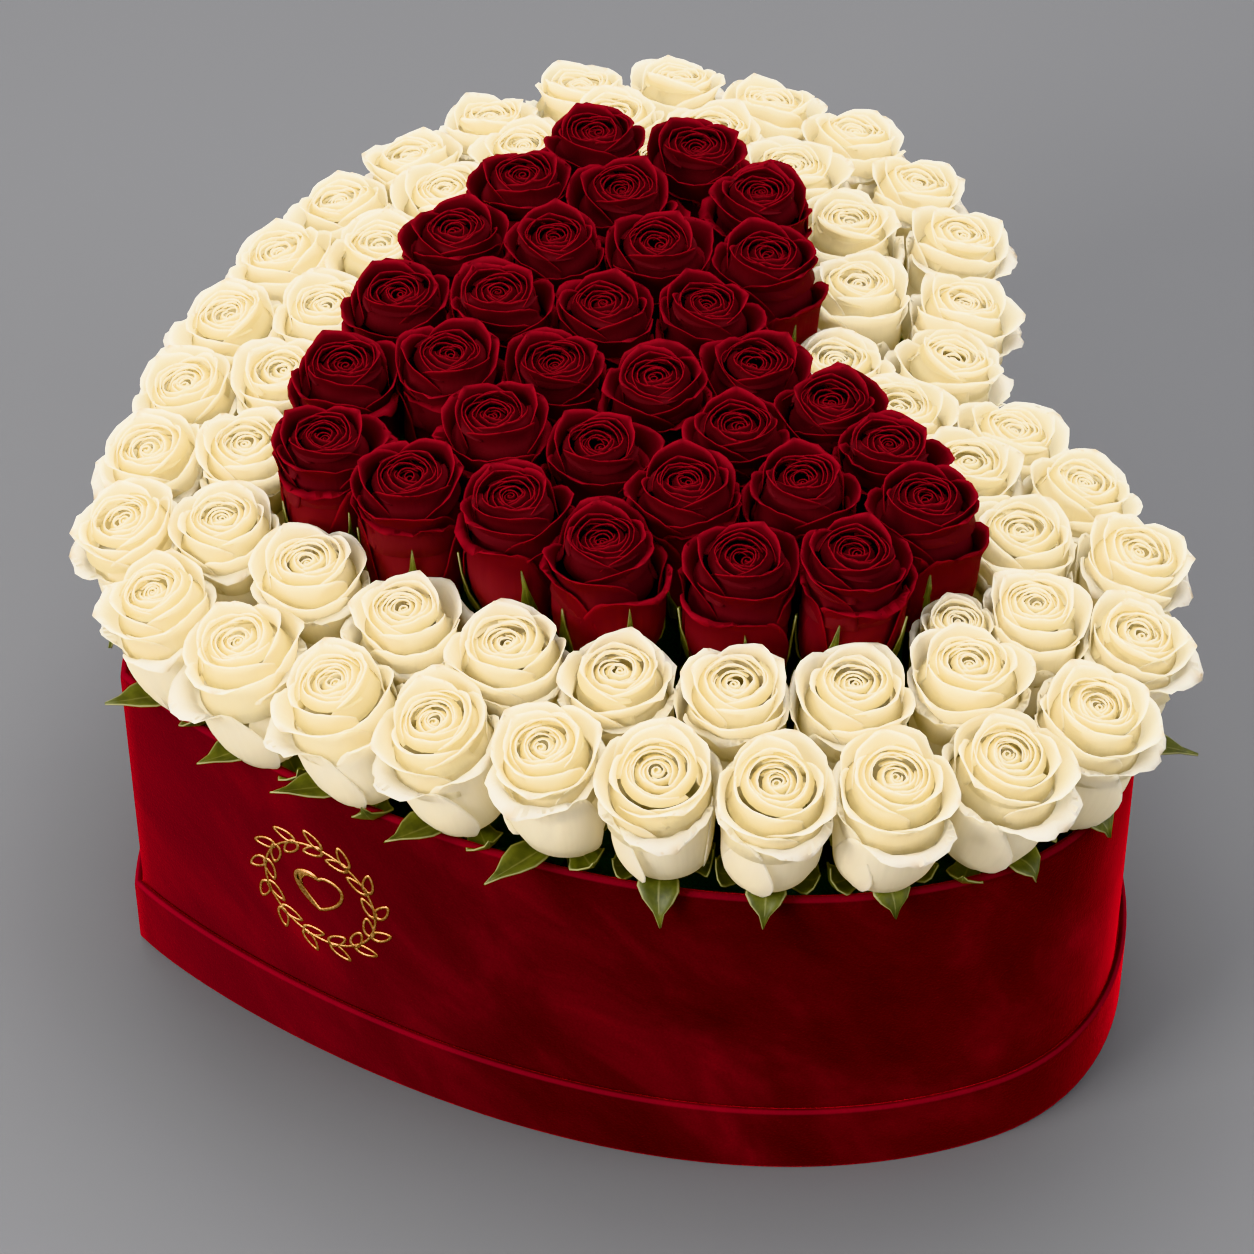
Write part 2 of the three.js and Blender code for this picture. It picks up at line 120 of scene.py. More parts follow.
RINGS = [
    {
        "row": "white_outer", "count": 30, "inset": 2.5, "phase": 0.5, "lean": 14, "head_z": 235,
        "per_group": 3, "free": False,
        "moved": [
            (12, -2, -12), (13, 0, -22), (14, -8, -8), (15, -9, 13),
            (16, -9, 12), (17, -7, 9), (18, -4, 5),
        ],
    },
    {
        "row": "white_inner", "count": 24, "inset": 47, "phase": 0, "lean": 4, "head_z": 246,
        "per_group": 4, "free": False,
        "moved": [(9, 0, -6), (10, 0, -14), (11, 0, -12), (13, -4, 6), (14, -3, 5)],
    },
    {
        "row": "red_outer", "count": 19, "inset": 98, "phase": 0, "lean": 3, "head_z": 276,
        "per_group": 4, "free": True, "moved": [],
    },
]
RED_LOBE = {"row": "red_lobe", "head_z": 280, "places": [(106, 64), (60, 64), (82, 26), (28, 26)]}
RED_MIDDLE = {
    "row": "red_middle", "head_z": 281,
    "places": [(-52, -12), (0, -12), (52, -12), (26, -50), (-26, -50)],
}
FILLER = {"row": "white_filler", "x": 172, "y": 106, "head_z": 240, "lean": 3, "size": 0.76}


def draw(index, purpose):
    """Fixed draw in the range -1 to 1, the same as in the CAD"""
    value = math.sin(index * DRAW_FACTORS[0] + purpose * DRAW_FACTORS[1]) * DRAW_FACTORS[2]
    return 2 * (value - math.floor(value)) - 1


SIDE_CURVE = np.array([
    (0, TIP_Y),
    (TIP_REACH * math.sin(TIP_ANGLE), TIP_Y + TIP_REACH * math.cos(TIP_ANGLE)),
    (HALF_WIDTH, WIDEST_Y - SIDE_REACH),
    (HALF_WIDTH, WIDEST_Y),
])
LOBE_CURVE = np.array([
    (HALF_WIDTH, WIDEST_Y),
    (HALF_WIDTH, WIDEST_Y + LOBE_REACH),
    (NOTCH_REACH * math.sin(NOTCH_ANGLE), NOTCH_Y + NOTCH_REACH * math.cos(NOTCH_ANGLE)),
    (0, NOTCH_Y),
])


def bezier(corners, shares):
    """Points and directions of a cubic curve"""
    t = np.asarray(shares)[:, None]
    a, b, c, d = corners
    points = (1 - t) ** 3 * a + 3 * (1 - t) ** 2 * t * b + 3 * (1 - t) * t * t * c + t**3 * d
    along = (1 - t) ** 2 * (b - a) + 2 * (1 - t) * t * (c - b) + t * t * (d - c)
    return points, along / np.linalg.norm(along, axis=1)[:, None]


def passed_along(points):
    """Length along a line of points up to each of them"""
    return np.r_[0, np.cumsum(np.linalg.norm(np.diff(points, axis=0), axis=1))]


def at_lengths(points, wanted):
    """Places at the wanted lengths along a line of points"""
    passed = passed_along(points)
    return np.column_stack([np.interp(wanted, passed, column) for column in points.T])


def evenly(points, count):
    """A line of points again, in as many points as asked at equal distances"""
    return at_lengths(points, np.linspace(0, passed_along(points)[-1], count))


def even_curve(corners, steps):
    """Points and directions of a cubic curve at equal distances"""
    shares = np.linspace(0, 1, CURVE_SAMPLES)
    passed = passed_along(bezier(corners, shares)[0])
    return bezier(corners, np.interp(np.linspace(0, passed[-1], steps + 1), passed, shares))


def on_axis(start, end):
    """Where the line through two points meets the heart's axis"""
    share = start[0] / (start[0] - end[0])
    return np.array([0.0, start[1] + share * (end[1] - start[1])])


def right_half(offset, side_steps, lobe_steps):
    """Right half of the outline from the tip to the notch, moved outwards by offset"""
    side, side_along = even_curve(SIDE_CURVE, side_steps)
    lobe, lobe_along = even_curve(LOBE_CURVE, lobe_steps)
    points = np.vstack([side, lobe[1:]])
    along = np.vstack([side_along, lobe_along[1:]])
    points = points + offset * np.column_stack([along[:, 1], -along[:, 0]])
    inside = np.nonzero(points[:, 0] > SEAM)[0]
    first, last = inside[0], inside[-1]
    kept = list(points[first : last + 1])
    tip = on_axis(kept[0], points[first - 1] if first > 0 else kept[1])
    if offset < 0:
        start = math.atan2(kept[-1][1] - NOTCH_Y, kept[-1][0])
        for i in range(1, NOTCH_ARC_STEPS + 1):
            angle = start + (-math.pi / 2 - start) * i / NOTCH_ARC_STEPS
            kept.append(np.array([-offset * math.cos(angle), NOTCH_Y - offset * math.sin(angle)]))
        kept[-1][0] = 0
    elif last + 1 < len(points):
        kept.append(on_axis(kept[-1], points[last + 1]))
    return np.array([tip] + kept)


def with_left_half(right):
    """Closed outline of the right half and its mirror image"""
    return np.vstack([right, right[1:-1][::-1] * (-1, 1)])


def heart_outline(offset):
    """The box's outline in the CAD's few points, moved outwards by offset"""
    return with_left_half(right_half(offset, SIDE_STEPS, LOBE_STEPS))


WALL_OUTLINE = heart_outline(0)


def equal_places(outline, count, phase):
    """Places at equal distances along a closed outline"""
    closed = np.vstack([outline, outline[:1]])
    return at_lengths(closed, (np.arange(count) + phase) * passed_along(closed)[-1] / count)


class Rose:
    """A rose's place: its head, the slope of its axis, and its size"""

    def __init__(self, row, head, head_z, lean=0, size=1.0, free=True):
        self.row = row
        self.head = np.array(head, float)
        self.head_z = head_z
        self.lean = lean
        self.size = size
        self.free = free

    def settle(self, index):
        """Fixes the size, height and axis of the rose with its own small variation"""
        middle = np.array([math.copysign(LOBE_MIDDLE[0], self.head[0]), LOBE_MIDDLE[1]])
        if abs(self.head[0]) < LOBE_MIDDLE[0]:
            middle[0] = self.head[0]
        away = self.head - middle
        self.index = index
        self.outward = away / np.linalg.norm(away)
        self.size *= 1 + SIZE_VARIATION * draw(index, 1)
        self.head_z += HEIGHT_VARIATION * draw(index, 2)
        self.slope = self.outward * math.tan(math.radians(self.lean))
        self.slope = self.slope + SLOPE_VARIATION * np.array([draw(index, 3), draw(index, 4)])
        up = np.array([*self.slope, 1.0])
        self.up = up / np.linalg.norm(up)
        across = np.array([1.0, 0.0, 0.0]) - self.up * self.up[0]
        self.across = across / np.linalg.norm(across)
        self.ahead = np.cross(self.up, self.across)
        self.base = np.array([*self.head, self.head_z]) - self.up * HEAD_HEIGHT * self.size

    def axis_at(self, heights):
        """Where the rose's axis passes in plan at each height"""
        return self.base[:2] + self.slope * (heights - self.base[2])[:, None]

    def raised(self, points):
        """How high points stand on the rose, in millimetres of a rose of size 1"""
        return (points - self.base) @ self.up / self.size

    def placed(self, points, turn=0.0):
        """Points of a rose standing at the origin, turned about its axis and put in place"""
        c, s = math.cos(turn), math.sin(turn)
        turned = points @ np.array([[c, s, 0], [-s, c, 0], [0, 0, 1]])
        return self.base + self.size * turned @ np.array([self.across, self.ahead, self.up])

    def opened(self, points, outer_petal, reach):
        """Lets the outer petals' rims fall open where no neighbour stands"""
        beyond = (points[:, :2] - self.axis_at(points[:, 2])) @ self.outward
        share = outer_petal * np.clip((self.raised(points) - EAR_FROM) / EAR_RISE, 0, 1)
        share = share * np.clip((beyond - EAR_INSIDE) / EAR_INSIDE, 0, 1)
        points = points.copy()
        points[:, :2] += reach * share[:, None] * self.outward
        points[:, 2] -= EAR_DROP * reach * share
        return points

    def kept_in_cell(self, points):
        """Presses what reaches past the planes between the rose and its neighbours back inside. The
        rolled rims lap a little over the neighbours' rims."""
        points = points.copy()
        gap = np.interp(self.raised(points), LAP_HEIGHTS, (CELL_GAP, -RIM_LAP))
        room = CELL_SOFTNESS - gap
        for other in self.neighbours:
            own = self.axis_at(points[:, 2])
            theirs = other.axis_at(points[:, 2])
            normal = theirs - own
            normal /= np.linalg.norm(normal, axis=1)[:, None]
            border = own + (theirs - own) * self.size / (self.size + other.size)
            past = ((points[:, :2] - border) * normal).sum(axis=1)
            kept = -gap - room * np.exp(-(past + CELL_SOFTNESS) / room)
            shift = np.where(past > -CELL_SOFTNESS, kept - past, 0)
            points[:, :2] += normal * shift[:, None]
        return points


def relax(roses):
    """Spreads the free roses until they stand evenly among the others"""
    for _ in range(RELAX_ROUNDS):
        for one in roses:
            if not one.free:
                continue
            for other in roses:
                away = one.head - other.head
                distance = math.hypot(*away)
                short = ROSE_SPACING * (one.size + other.size) / 2 - distance
                if other is one or short <= 0:
                    continue
                push = PUSH_AMONG_FREE if other.free else PUSH_OFF_FIXED
                one.head = one.head + away / distance * short * push


def all_roses():
    """Every rose in its place: the rings, the red lobes and middle, and the two small white ones"""
    roses = []
    for ring in RINGS:
        places = equal_places(heart_outline(-ring["inset"]), ring["count"], ring["phase"])
        for index, x, y in ring["moved"]:
            places[index] += (x, y)
        for place in places:
            roses.append(Rose(ring["row"], place, ring["head_z"], ring["lean"], free=ring["free"]))
    for side in (1, -1):
        for x, y in RED_LOBE["places"]:
            roses.append(Rose(RED_LOBE["row"], (side * x, y), RED_LOBE["head_z"]))
    for place in RED_MIDDLE["places"]:
        roses.append(Rose(RED_MIDDLE["row"], place, RED_MIDDLE["head_z"]))
    for side in (1, -1):
        head = (side * FILLER["x"], FILLER["y"])
        roses.append(Rose(FILLER["row"], head, FILLER["head_z"], FILLER["lean"], FILLER["size"], False))
    relax(roses)
    for index, one in enumerate(roses):
        one.settle(index)
    for one in roses:
        others = [other for other in roses if other is not one]
        one.neighbours = [other for other in others if apart(one, other.head) < NEIGHBOUR_REACH]
    return roses


def apart(one, place):
    """Distance in plan from a rose's head to a place"""
    return math.hypot(*(place - one.head))


def groups_of(roses):
    """The runs of roses that the CAD joins in one node, by the node's label. A small white rose joins
    the run with the nearest end."""
    rows = [(ring["row"], ring["per_group"]) for ring in RINGS]
    rows += [(patch["row"], len(patch["places"])) for patch in (RED_LOBE, RED_MIDDLE)]
    groups = {}
    for row, per_group in rows:
        members = [one for one in roses if one.row == row]
        for number, i in enumerate(range(0, len(members), per_group), 1):
            groups[f"{row}_{number:02d}"] = members[i : i + per_group]
    inner = [members for label, members in groups.items() if label.startswith("white_inner")]
    for filler in [one for one in roses if one.row == FILLER["row"]]:
        reaches = [min(apart(run[0], filler.head), apart(run[-1], filler.head)) for run in inner]
        inner[np.argmin(reaches)].append(filler)
    return groups


def linear(code):
    """Linear colour of an sRGB hex code"""
    values = [int(code[i : i + 2], 16) / 255 for i in (1, 3, 5)]
    return [v / 12.92 if v <= 0.04045 else ((v + 0.055) / 1.055) ** 2.4 for v in values] + [1.0]


def add(tree, kind, inputs=None, **settings):
    """Adds a node with its settings. Each input takes a value, another node's output, or a node for
    its first output."""
    node = tree.nodes.new(kind)
    for name, value in settings.items():
        setattr(node, name, value)
    for key, value in (inputs or {}).items():
        if isinstance(value, bpy.types.Node):
            value = value.outputs[0]
        if isinstance(value, bpy.types.NodeSocket):
            tree.links.new(value, node.inputs[key])
        else:
            node.inputs[key].default_value = value
    return node


def new_material(name):
    """Empty material and its node tree"""
    material = bpy.data.materials.new(name)
    material.use_nodes = True
    material.node_tree.nodes.clear()
    return material, material.node_tree


def set_ramp(node, stops):
    """Fills a colour ramp from pairs of place and hex code"""
    elements = node.color_ramp.elements
    while len(elements) < len(stops):
        elements.new(0.5)
    for element, (place, code) in zip(elements, stops):
        element.position = place
        element.color = linear(code)


def petal_material(name, stops, shade_code, roughness, sheen, sheen_code, flesh):
    """Fresh rose petal: thin living tissue that lets some light through, with a waxy, faintly velvety
    skin. Its colour runs from base to rim and deepens towards the heart of the bloom and below each rim,
    as painted shade that for the whites is partly their own yellower heart. Fine veins run along it."""
    material, tree = new_material(name)
    petal = add(tree, "ShaderNodeAttribute", attribute_name="petal")
    tint = add(tree, "ShaderNodeAttribute", attribute_name="tint").outputs["Fac"]
    across, along, depth = add(tree, "ShaderNodeSeparateXYZ", {0: petal.outputs["Vector"]}).outputs
    ramp = add(tree, "ShaderNodeValToRGB", {"Fac": along})
    set_ramp(ramp, stops)
    # Painted shade: deep in the bloom and below each rim the colour is multiplied by the shade colour
    depth_shaded = add(
        tree, "ShaderNodeMix", {"Factor": depth, "A": ramp, "B": linear(shade_code)},
        data_type="RGBA", blend_type="MULTIPLY",
    )
    # Veins: 26 from side to side of a petal, drawn out along it, and others on each petal
    own_veins = add(tree, "ShaderNodeCombineXYZ", {"X": across, "Y": along, "Z": tint})
    stretch = add(
        tree, "ShaderNodeVectorMath", {0: own_veins, 1: (26.0, 2.2, 40.0)}, operation="MULTIPLY"
    )
    vein = add(tree, "ShaderNodeTexNoise", {"Vector": stretch, "Scale": 1.0, "Detail": 1.0})
    veined = add(
        tree, "ShaderNodeMapRange",
        {"Value": vein, "From Min": 0.25, "From Max": 0.75, "To Min": 0.93, "To Max": 1.03},
    )
    shade = add(tree, "ShaderNodeMapRange", {"Value": tint, "To Min": 0.94, "To Max": 1.04})
    both = add(tree, "ShaderNodeMath", {0: veined, 1: shade}, operation="MULTIPLY")
    toned = add(
        tree, "ShaderNodeVectorMath", {0: depth_shaded.outputs["Result"], "Scale": both.outputs[0]},
        operation="SCALE",
    )
    # Bruised specks, 3 mm across, only on the last tenth before the rim
    where = add(tree, "ShaderNodeTexCoord").outputs["Object"]
    specks = add(tree, "ShaderNodeTexNoise", {"Vector": where, "Scale": 330.0, "Detail": 1.0})
    bruise = add(
        tree, "ShaderNodeMapRange",
        {"Value": specks, "From Min": 0.66, "From Max": 0.76, "To Min": 0.0, "To Max": 0.8},
    )
    edge = add(tree, "ShaderNodeMapRange", {"Value": along, "From Min": 0.93, "From Max": 1.0})
    # The pointed middle of the rim browns first
    centred = add(tree, "ShaderNodeMath", {0: across}, operation="ABSOLUTE")
    tip = add(
        tree, "ShaderNodeMapRange",
        {"Value": centred, "From Min": 0.0, "From Max": 0.07, "To Min": 0.7, "To Max": 0.0},
    )
    worn = add(tree, "ShaderNodeMath", {0: bruise, 1: tip}, operation="MAXIMUM")
    amount = add(tree, "ShaderNodeMath", {0: worn, 1: edge}, operation="MULTIPLY")
    colour = add(
        tree, "ShaderNodeMix", {"Factor": amount, "A": toned, "B": linear(flesh["specks"])},
        data_type="RGBA",
    )
    bump = add(tree, "ShaderNodeBump", {"Height": vein, "Strength": 0.35, "Distance": 0.4 * MM})
    shader = add(
        tree, "ShaderNodeBsdfPrincipled",
        {
            "Base Color": colour.outputs["Result"],
            "Roughness": roughness,
            "IOR": 1.4,
            "Specular IOR Level": flesh["gloss"],
            "Sheen Weight": sheen,
            "Sheen Roughness": 0.4,
            "Sheen Tint": linear(sheen_code),
            "Normal": bump,
        },
    )
    glow = add(tree, "ShaderNodeBsdfTranslucent", {"Color": linear(flesh["light through"])})
    mixed = add(tree, "ShaderNodeMixShader", {0: flesh["share through"], 1: shader, 2: glow})
    add(tree, "ShaderNodeOutputMaterial", {"Surface": mixed})
    return material


def green_material():
    """Rose sepal and stem: matte living leaf, with a paler margin and midrib"""
    material, tree = new_material("sepal_leaf")
    petal = add(tree, "ShaderNodeAttribute", attribute_name="petal")
    parts = add(tree, "ShaderNodeSeparateXYZ", {0: petal.outputs["Vector"]})
    across = add(tree, "ShaderNodeMath", {0: parts}, operation="ABSOLUTE")
    margin = add(
        tree, "ShaderNodeMapRange", {"Value": across, "From Min": 0.88, "From Max": 1.0, "To Max": 0.7}
    )
    midrib = add(
        tree, "ShaderNodeMapRange",
        {"Value": across, "From Min": 0.0, "From Max": 0.09, "To Min": 0.35, "To Max": 0.0},
    )
    pale = add(tree, "ShaderNodeMath", {0: margin, 1: midrib}, operation="MAXIMUM")
    # Patches of lighter and darker green, 7 mm wide
    where = add(tree, "ShaderNodeTexCoord").outputs["Object"]
    patch = add(tree, "ShaderNodeTexNoise", {"Vector": where, "Scale": 150.0, "Detail": 3.0})
    leaf = add(tree, "ShaderNodeValToRGB", {"Fac": patch})
    set_ramp(leaf, [(0.3, "#343812"), (0.7, "#555822")])
    colour = add(
        tree, "ShaderNodeMix", {"Factor": pale, "A": leaf, "B": linear("#989468")}, data_type="RGBA"
    )
    bump = add(tree, "ShaderNodeBump", {"Height": patch, "Strength": 0.4, "Distance": 0.5 * MM})
    shader = add(
        tree, "ShaderNodeBsdfPrincipled",
        {"Base Color": colour.outputs["Result"], "Roughness": 0.55, "IOR": 1.4, "Normal": bump},
    )
    add(tree, "ShaderNodeOutputMaterial", {"Surface": shader})
    return material


BRUSH_TURN = (0.0, math.radians(45), math.radians(36))  # strokes slant down along the front
BRUSH_STRETCH = (2.4, 1.0, 1.0)


def velvet_material():
    """Cut velvet glued on board: a dense dyed pile that is dark seen into and bright at grazing angles,
    pushed this way and that in clouds a few centimetres wide"""
    material, tree = new_material("cut_velvet")
    where = add(tree, "ShaderNodeTexCoord").outputs["Object"]
    brushed = add(
        tree, "ShaderNodeMapping", {"Vector": where, "Rotation": BRUSH_TURN, "Scale": BRUSH_STRETCH},
        vector_type="TEXTURE",
    )
    clouds = add(
        tree, "ShaderNodeTexNoise",
        {"Vector": brushed, "Scale": 22.0, "Detail": 4.0, "Roughness": 0.6, "Distortion": 0.4},
    )
    nap = add(tree, "ShaderNodeValToRGB", {"Fac": clouds})
    set_ramp(nap, [(0.3, "#240003"), (0.5, "#340205"), (0.64, "#460408"), (0.76, "#5a060c")])
    # Pile: tufts 0.5 mm apart are drawn 1 mm apart, the finest that shows
    pile = add(tree, "ShaderNodeTexNoise", {"Vector": where, "Scale": 1000.0, "Detail": 1.0})
    fleck = add(
        tree, "ShaderNodeMapRange",
        {"Value": pile, "From Min": 0.3, "From Max": 0.7, "To Min": 0.86, "To Max": 1.12},
    )
    flecked = add(tree, "ShaderNodeVectorMath", {0: nap, "Scale": fleck}, operation="SCALE")
    # Painted highlight and painted sheen: lighter crimson along the outer rounding of each rim, where
    # light catches the edge, and towards the heart's tip, where light grazes the pile
    painted_sheen = add(tree, "ShaderNodeAttribute", attribute_name="painted_sheen").outputs["Fac"]
    colour = add(
        tree, "ShaderNodeMix", {"Factor": painted_sheen, "A": flecked, "B": linear("#a01226")}, data_type="RGBA"
    )
    heights = add(tree, "ShaderNodeMath", {0: clouds, 1: 3.0, 2: pile}, operation="MULTIPLY_ADD")
    bump = add(tree, "ShaderNodeBump", {"Height": heights, "Strength": 0.5, "Distance": 0.5 * MM})
    shader = add(
        tree, "ShaderNodeBsdfPrincipled",
        {
            "Base Color": colour.outputs["Result"],
            "Roughness": 1.0,
            "Specular IOR Level": 0.0,
            "Sheen Weight": 1.0,
            "Sheen Roughness": 0.32,
            "Sheen Tint": linear("#ff1224"),
            "Normal": bump,
        },
    )
    add(tree, "ShaderNodeOutputMaterial", {"Surface": shader})
    return material


def foil_material():
    """Gold foil hot-stamped on velvet: bright metal, broken up a little by the pile under it, whose
    tufts are drawn 1 mm apart as on the velvet"""
    material, tree = new_material("stamped_gold_foil")
    where = add(tree, "ShaderNodeTexCoord").outputs["Object"]
    grain = add(tree, "ShaderNodeTexNoise", {"Vector": where, "Scale": 1000.0, "Detail": 2.0})
    tone = add(tree, "ShaderNodeValToRGB", {"Fac": grain})
    set_ramp(tone, [(0.35, "#c48c4c"), (0.65, "#f0c084")])
    rough = add(tree, "ShaderNodeMapRange", {"Value": grain, "To Min": 0.3, "To Max": 0.55})
    bump = add(tree, "ShaderNodeBump", {"Height": grain, "Strength": 0.4, "Distance": 0.3 * MM})
    shader = add(
        tree, "ShaderNodeBsdfPrincipled",
        {"Base Color": tone, "Metallic": 1.0, "Roughness": rough, "Normal": bump},
    )
    add(tree, "ShaderNodeOutputMaterial", {"Surface": shader})
    return material


def foam_material():
    """Wet floral foam: open phenolic cells 0.3 mm wide, drawn 1 mm wide. Its green is darkened as
    painted shade where it lies under the blooms.
    """
    material, tree = new_material("floral_foam_in_painted_shade")
    where = add(tree, "ShaderNodeTexCoord").outputs["Object"]
    cells = add(tree, "ShaderNodeTexNoise", {"Vector": where, "Scale": 900.0, "Detail": 2.0})
    tone = add(tree, "ShaderNodeValToRGB", {"Fac": cells})
    # The foam's dark green, darkened further as painted shade under the blooms
    set_ramp(tone, [(0.3, "#0e1c12"), (0.7, "#1c3424")])
    bump = add(tree, "ShaderNodeBump", {"Height": cells, "Strength": 0.6, "Distance": 0.6 * MM})
    shader = add(
        tree, "ShaderNodeBsdfPrincipled", {"Base Color": tone, "Roughness": 0.95, "Normal": bump}
    )
    add(tree, "ShaderNodeOutputMaterial", {"Surface": shader})
    return material


def floor_material():
    """Matte studio paper"""
    material, tree = new_material("studio_paper")
    shader = add(tree, "ShaderNodeBsdfPrincipled", {"Base Color": linear("#58585a"), "Roughness": 0.9})
    add(tree, "ShaderNodeOutputMaterial", {"Surface": shader})
    return material


def grid_faces(rows, columns):
    """Quads of a grid of points counted row by row"""
    corner = np.arange(rows * columns).reshape(rows, columns)
    quads = [corner[:-1, :-1], corner[:-1, 1:], corner[1:, 1:], corner[1:, :-1]]
    return np.stack(quads, axis=-1).reshape(-1, 4)


def closed_faces(rings, steps):
    """Faces of a closed skin over rings of points, with a single point before the first ring and one
    after the last"""
    corner = 1 + np.arange(rings * steps).reshape(rings, steps)
    after = np.roll(corner, -1, axis=1)
    quads = np.stack([corner[:-1], after[:-1], after[1:], corner[1:]], axis=-1).reshape(-1, 4)
    none = np.full(steps, -1)
    start = np.column_stack([np.zeros(steps, int), after[0], corner[0], none])
    end = np.column_stack([np.full(steps, 1 + rings * steps), corner[-1], after[-1], none])
    return np.vstack([start, quads, end])


def joined(parts):
    """Stacks parts that are each points, faces and perhaps more. A missing fourth corner stays -1."""
    counts = np.cumsum([0] + [len(part[0]) for part in parts])
    columns = [list(column) for column in zip(*parts)]
    columns[1] = [np.where(faces < 0, -1, faces + count) for faces, count in zip(columns[1], counts)]
    return [np.concatenate(column) for column in columns]


def mesh_object(name, points, faces, materials, attributes=None, material_index=None):
    """Object at the origin from points in millimetres. Each face has four corners, and one with three
    ends in -1."""
    corners = faces[faces >= 0]
    totals = (faces >= 0).sum(axis=1)
    mesh = bpy.data.meshes.new(name)
    mesh.vertices.add(len(points))
    mesh.vertices.foreach_set("co", (np.asarray(points) * MM).astype(np.float32).ravel())
    mesh.loops.add(len(corners))
    mesh.loops.foreach_set("vertex_index", corners.astype(np.int32))
    mesh.polygons.add(len(faces))
    mesh.polygons.foreach_set("loop_start", (np.cumsum(totals) - totals).astype(np.int32))
    mesh.polygons.foreach_set("loop_total", totals.astype(np.int32))
    mesh.polygons.foreach_set("use_smooth", np.ones(len(faces), bool))
    if material_index is not None:
        mesh.polygons.foreach_set("material_index", material_index.astype(np.int32))
    for material in materials:
        mesh.materials.append(material)
    for key, values in (attributes or {}).items():
        kind, field = ("FLOAT_VECTOR", "vector") if values.ndim == 2 else ("FLOAT", "value")
        attribute = mesh.attributes.new(key, kind, "POINT")
        attribute.data.foreach_set(field, values.astype(np.float32).ravel())
    mesh.update(calc_edges=True)
    made = bpy.data.objects.new(name, mesh)
    bpy.context.scene.collection.objects.link(made)
    return made


@dataclass
class Layer:
    """A layer of a rose's petals. The values given here are those of most layers."""

    cells: tuple  # faces across a petal and along it
    depth: float  # how far in it stands, from 0 outermost to 1
    profile: list  # radius and height, from where its sheet starts over the rim
    ruffle: float  # how far its rim is waved
    tip: float  # how far the middle of its rim stands out
    ragged: float  # how deep its rim is notched
    arch: float  # how much lower its sides are
    petals: int = 3
    half: float = 1.5  # half of the angle that a petal covers
    rounding: float = 0.45  # share of its length that its rounded corners lose
    narrow: float = 1.0  # how wide its foot is, as a share of its full width
    spiral: float = 1.0  # how far one side stands in, and the other out
    flare: float = 0.0  # how far its side edges stand off
    loose: float = 0.02  # how far it may lean, in radians


LAYERS = [
    Layer(
        (34, 8), 0.0,
        [
            (4.5, -8.6), (11.5, -7.6), (18.2, -1.5), (22.4, 9), (24.2, 22), (23.7, 34), (24.0, 41.4),
            (26.4, 45.2), (29.4, 45.2), (32.0, 42.0),
        ],
        ruffle=5.6, tip=2.6, ragged=1.0, arch=1.6,
        half=1.75, rounding=0.8, narrow=0.45, spiral=1.1, flare=0.8, loose=0.09,
    ),
    Layer(
        (22, 6), 0.08,
        [(22.6, 33.5), (20.6, 36.2), (19.7, 41), (19.5, 47.0), (21.4, 53.4), (24.4, 57.4), (27.2, 57.6)],
        ruffle=4.4, tip=2.2, ragged=0.8, arch=4.8, half=1.6, rounding=0.6, spiral=0.8, loose=0.05,
    ),
    Layer(
        (18, 5), 0.22,
        [(19.2, 47.0), (17.3, 49.0), (16.1, 53.0), (15.8, 57.4), (17.0, 61.8), (19.0, 63.8)],
        ruffle=2.6, tip=1.8, ragged=0.6, arch=5.8, rounding=0.5, flare=0.2, loose=0.03,
    ),
    Layer(
        (14, 3), 0.4, [(15.8, 56.4), (14.3, 57.5), (13.4, 59.6), (13.3, 62.4)],
        ruffle=1.4, tip=1.2, ragged=0.4, arch=4.2,
    ),
    Layer(
        (12, 3), 0.52, [(13.3, 56.8), (11.8, 57.8), (10.9, 59.4), (10.7, 61.6)],
        ruffle=1.0, tip=0.9, ragged=0.3, arch=3.4,
    ),
    Layer(
        (10, 2), 0.62, [(10.9, 56.8), (9.4, 57.8), (8.5, 60.8)],
        ruffle=0.8, tip=0.6, ragged=0.2, arch=2.8, spiral=0.9,
    ),
    Layer(
        (10, 2), 0.72, [(8.8, 56.5), (7.4, 57.4), (6.5, 60.0)],
        ruffle=0.7, tip=0.5, ragged=0.2, arch=2.2, spiral=0.8,
    ),
    Layer(
        (8, 2), 0.8, [(7.0, 56.1), (5.7, 57.0), (4.8, 59.2)],
        ruffle=0.6, tip=0.3, ragged=0.1, arch=1.6, rounding=0.4, spiral=0.7,
    ),
    Layer(
        (10, 2), 0.9, [(5.3, 55.8), (4.0, 56.6), (3.1, 58.5)],
        ruffle=0.4, tip=0.2, ragged=0.1, arch=1.2, petals=2, half=2.2, rounding=0.3, spiral=0.6,
    ),
    Layer(
        (16, 3), 1.0, [(0.3, 55.9), (1.9, 55.9), (2.1, 56.6), (1.3, 57.8)],
        ruffle=0.2, tip=0.0, ragged=0.0, arch=0.8, petals=1, half=4.4, rounding=0.1,
    ),
]
GOLDEN_ANGLE = math.radians(137.5)
PROFILE_POINTS = 80
PROFILE_STEPS = 12  # between two corners of a profile
RIM_CROWDING = 0.62  # rows of points stand closer towards the rim
SIDE_CROWDING = 0.4  # share by which columns of points stand closer towards the sides
CORNER_POWER = 3.6
TIP_WIDTH = 0.13
NOTCH_POWER = 6
FLARE_POWER = 4
FULL_WIDTH = 0.55  # share of its length at which a petal is as wide as it gets
RUFFLE_LENGTH = 0.4  # share of its length, beyond that, over which the ruffle grows
RUFFLE_POWER = 1.5
NOTCH_SEED = 70
INNER_START = 0.3  # share of its length that an inner petal hides
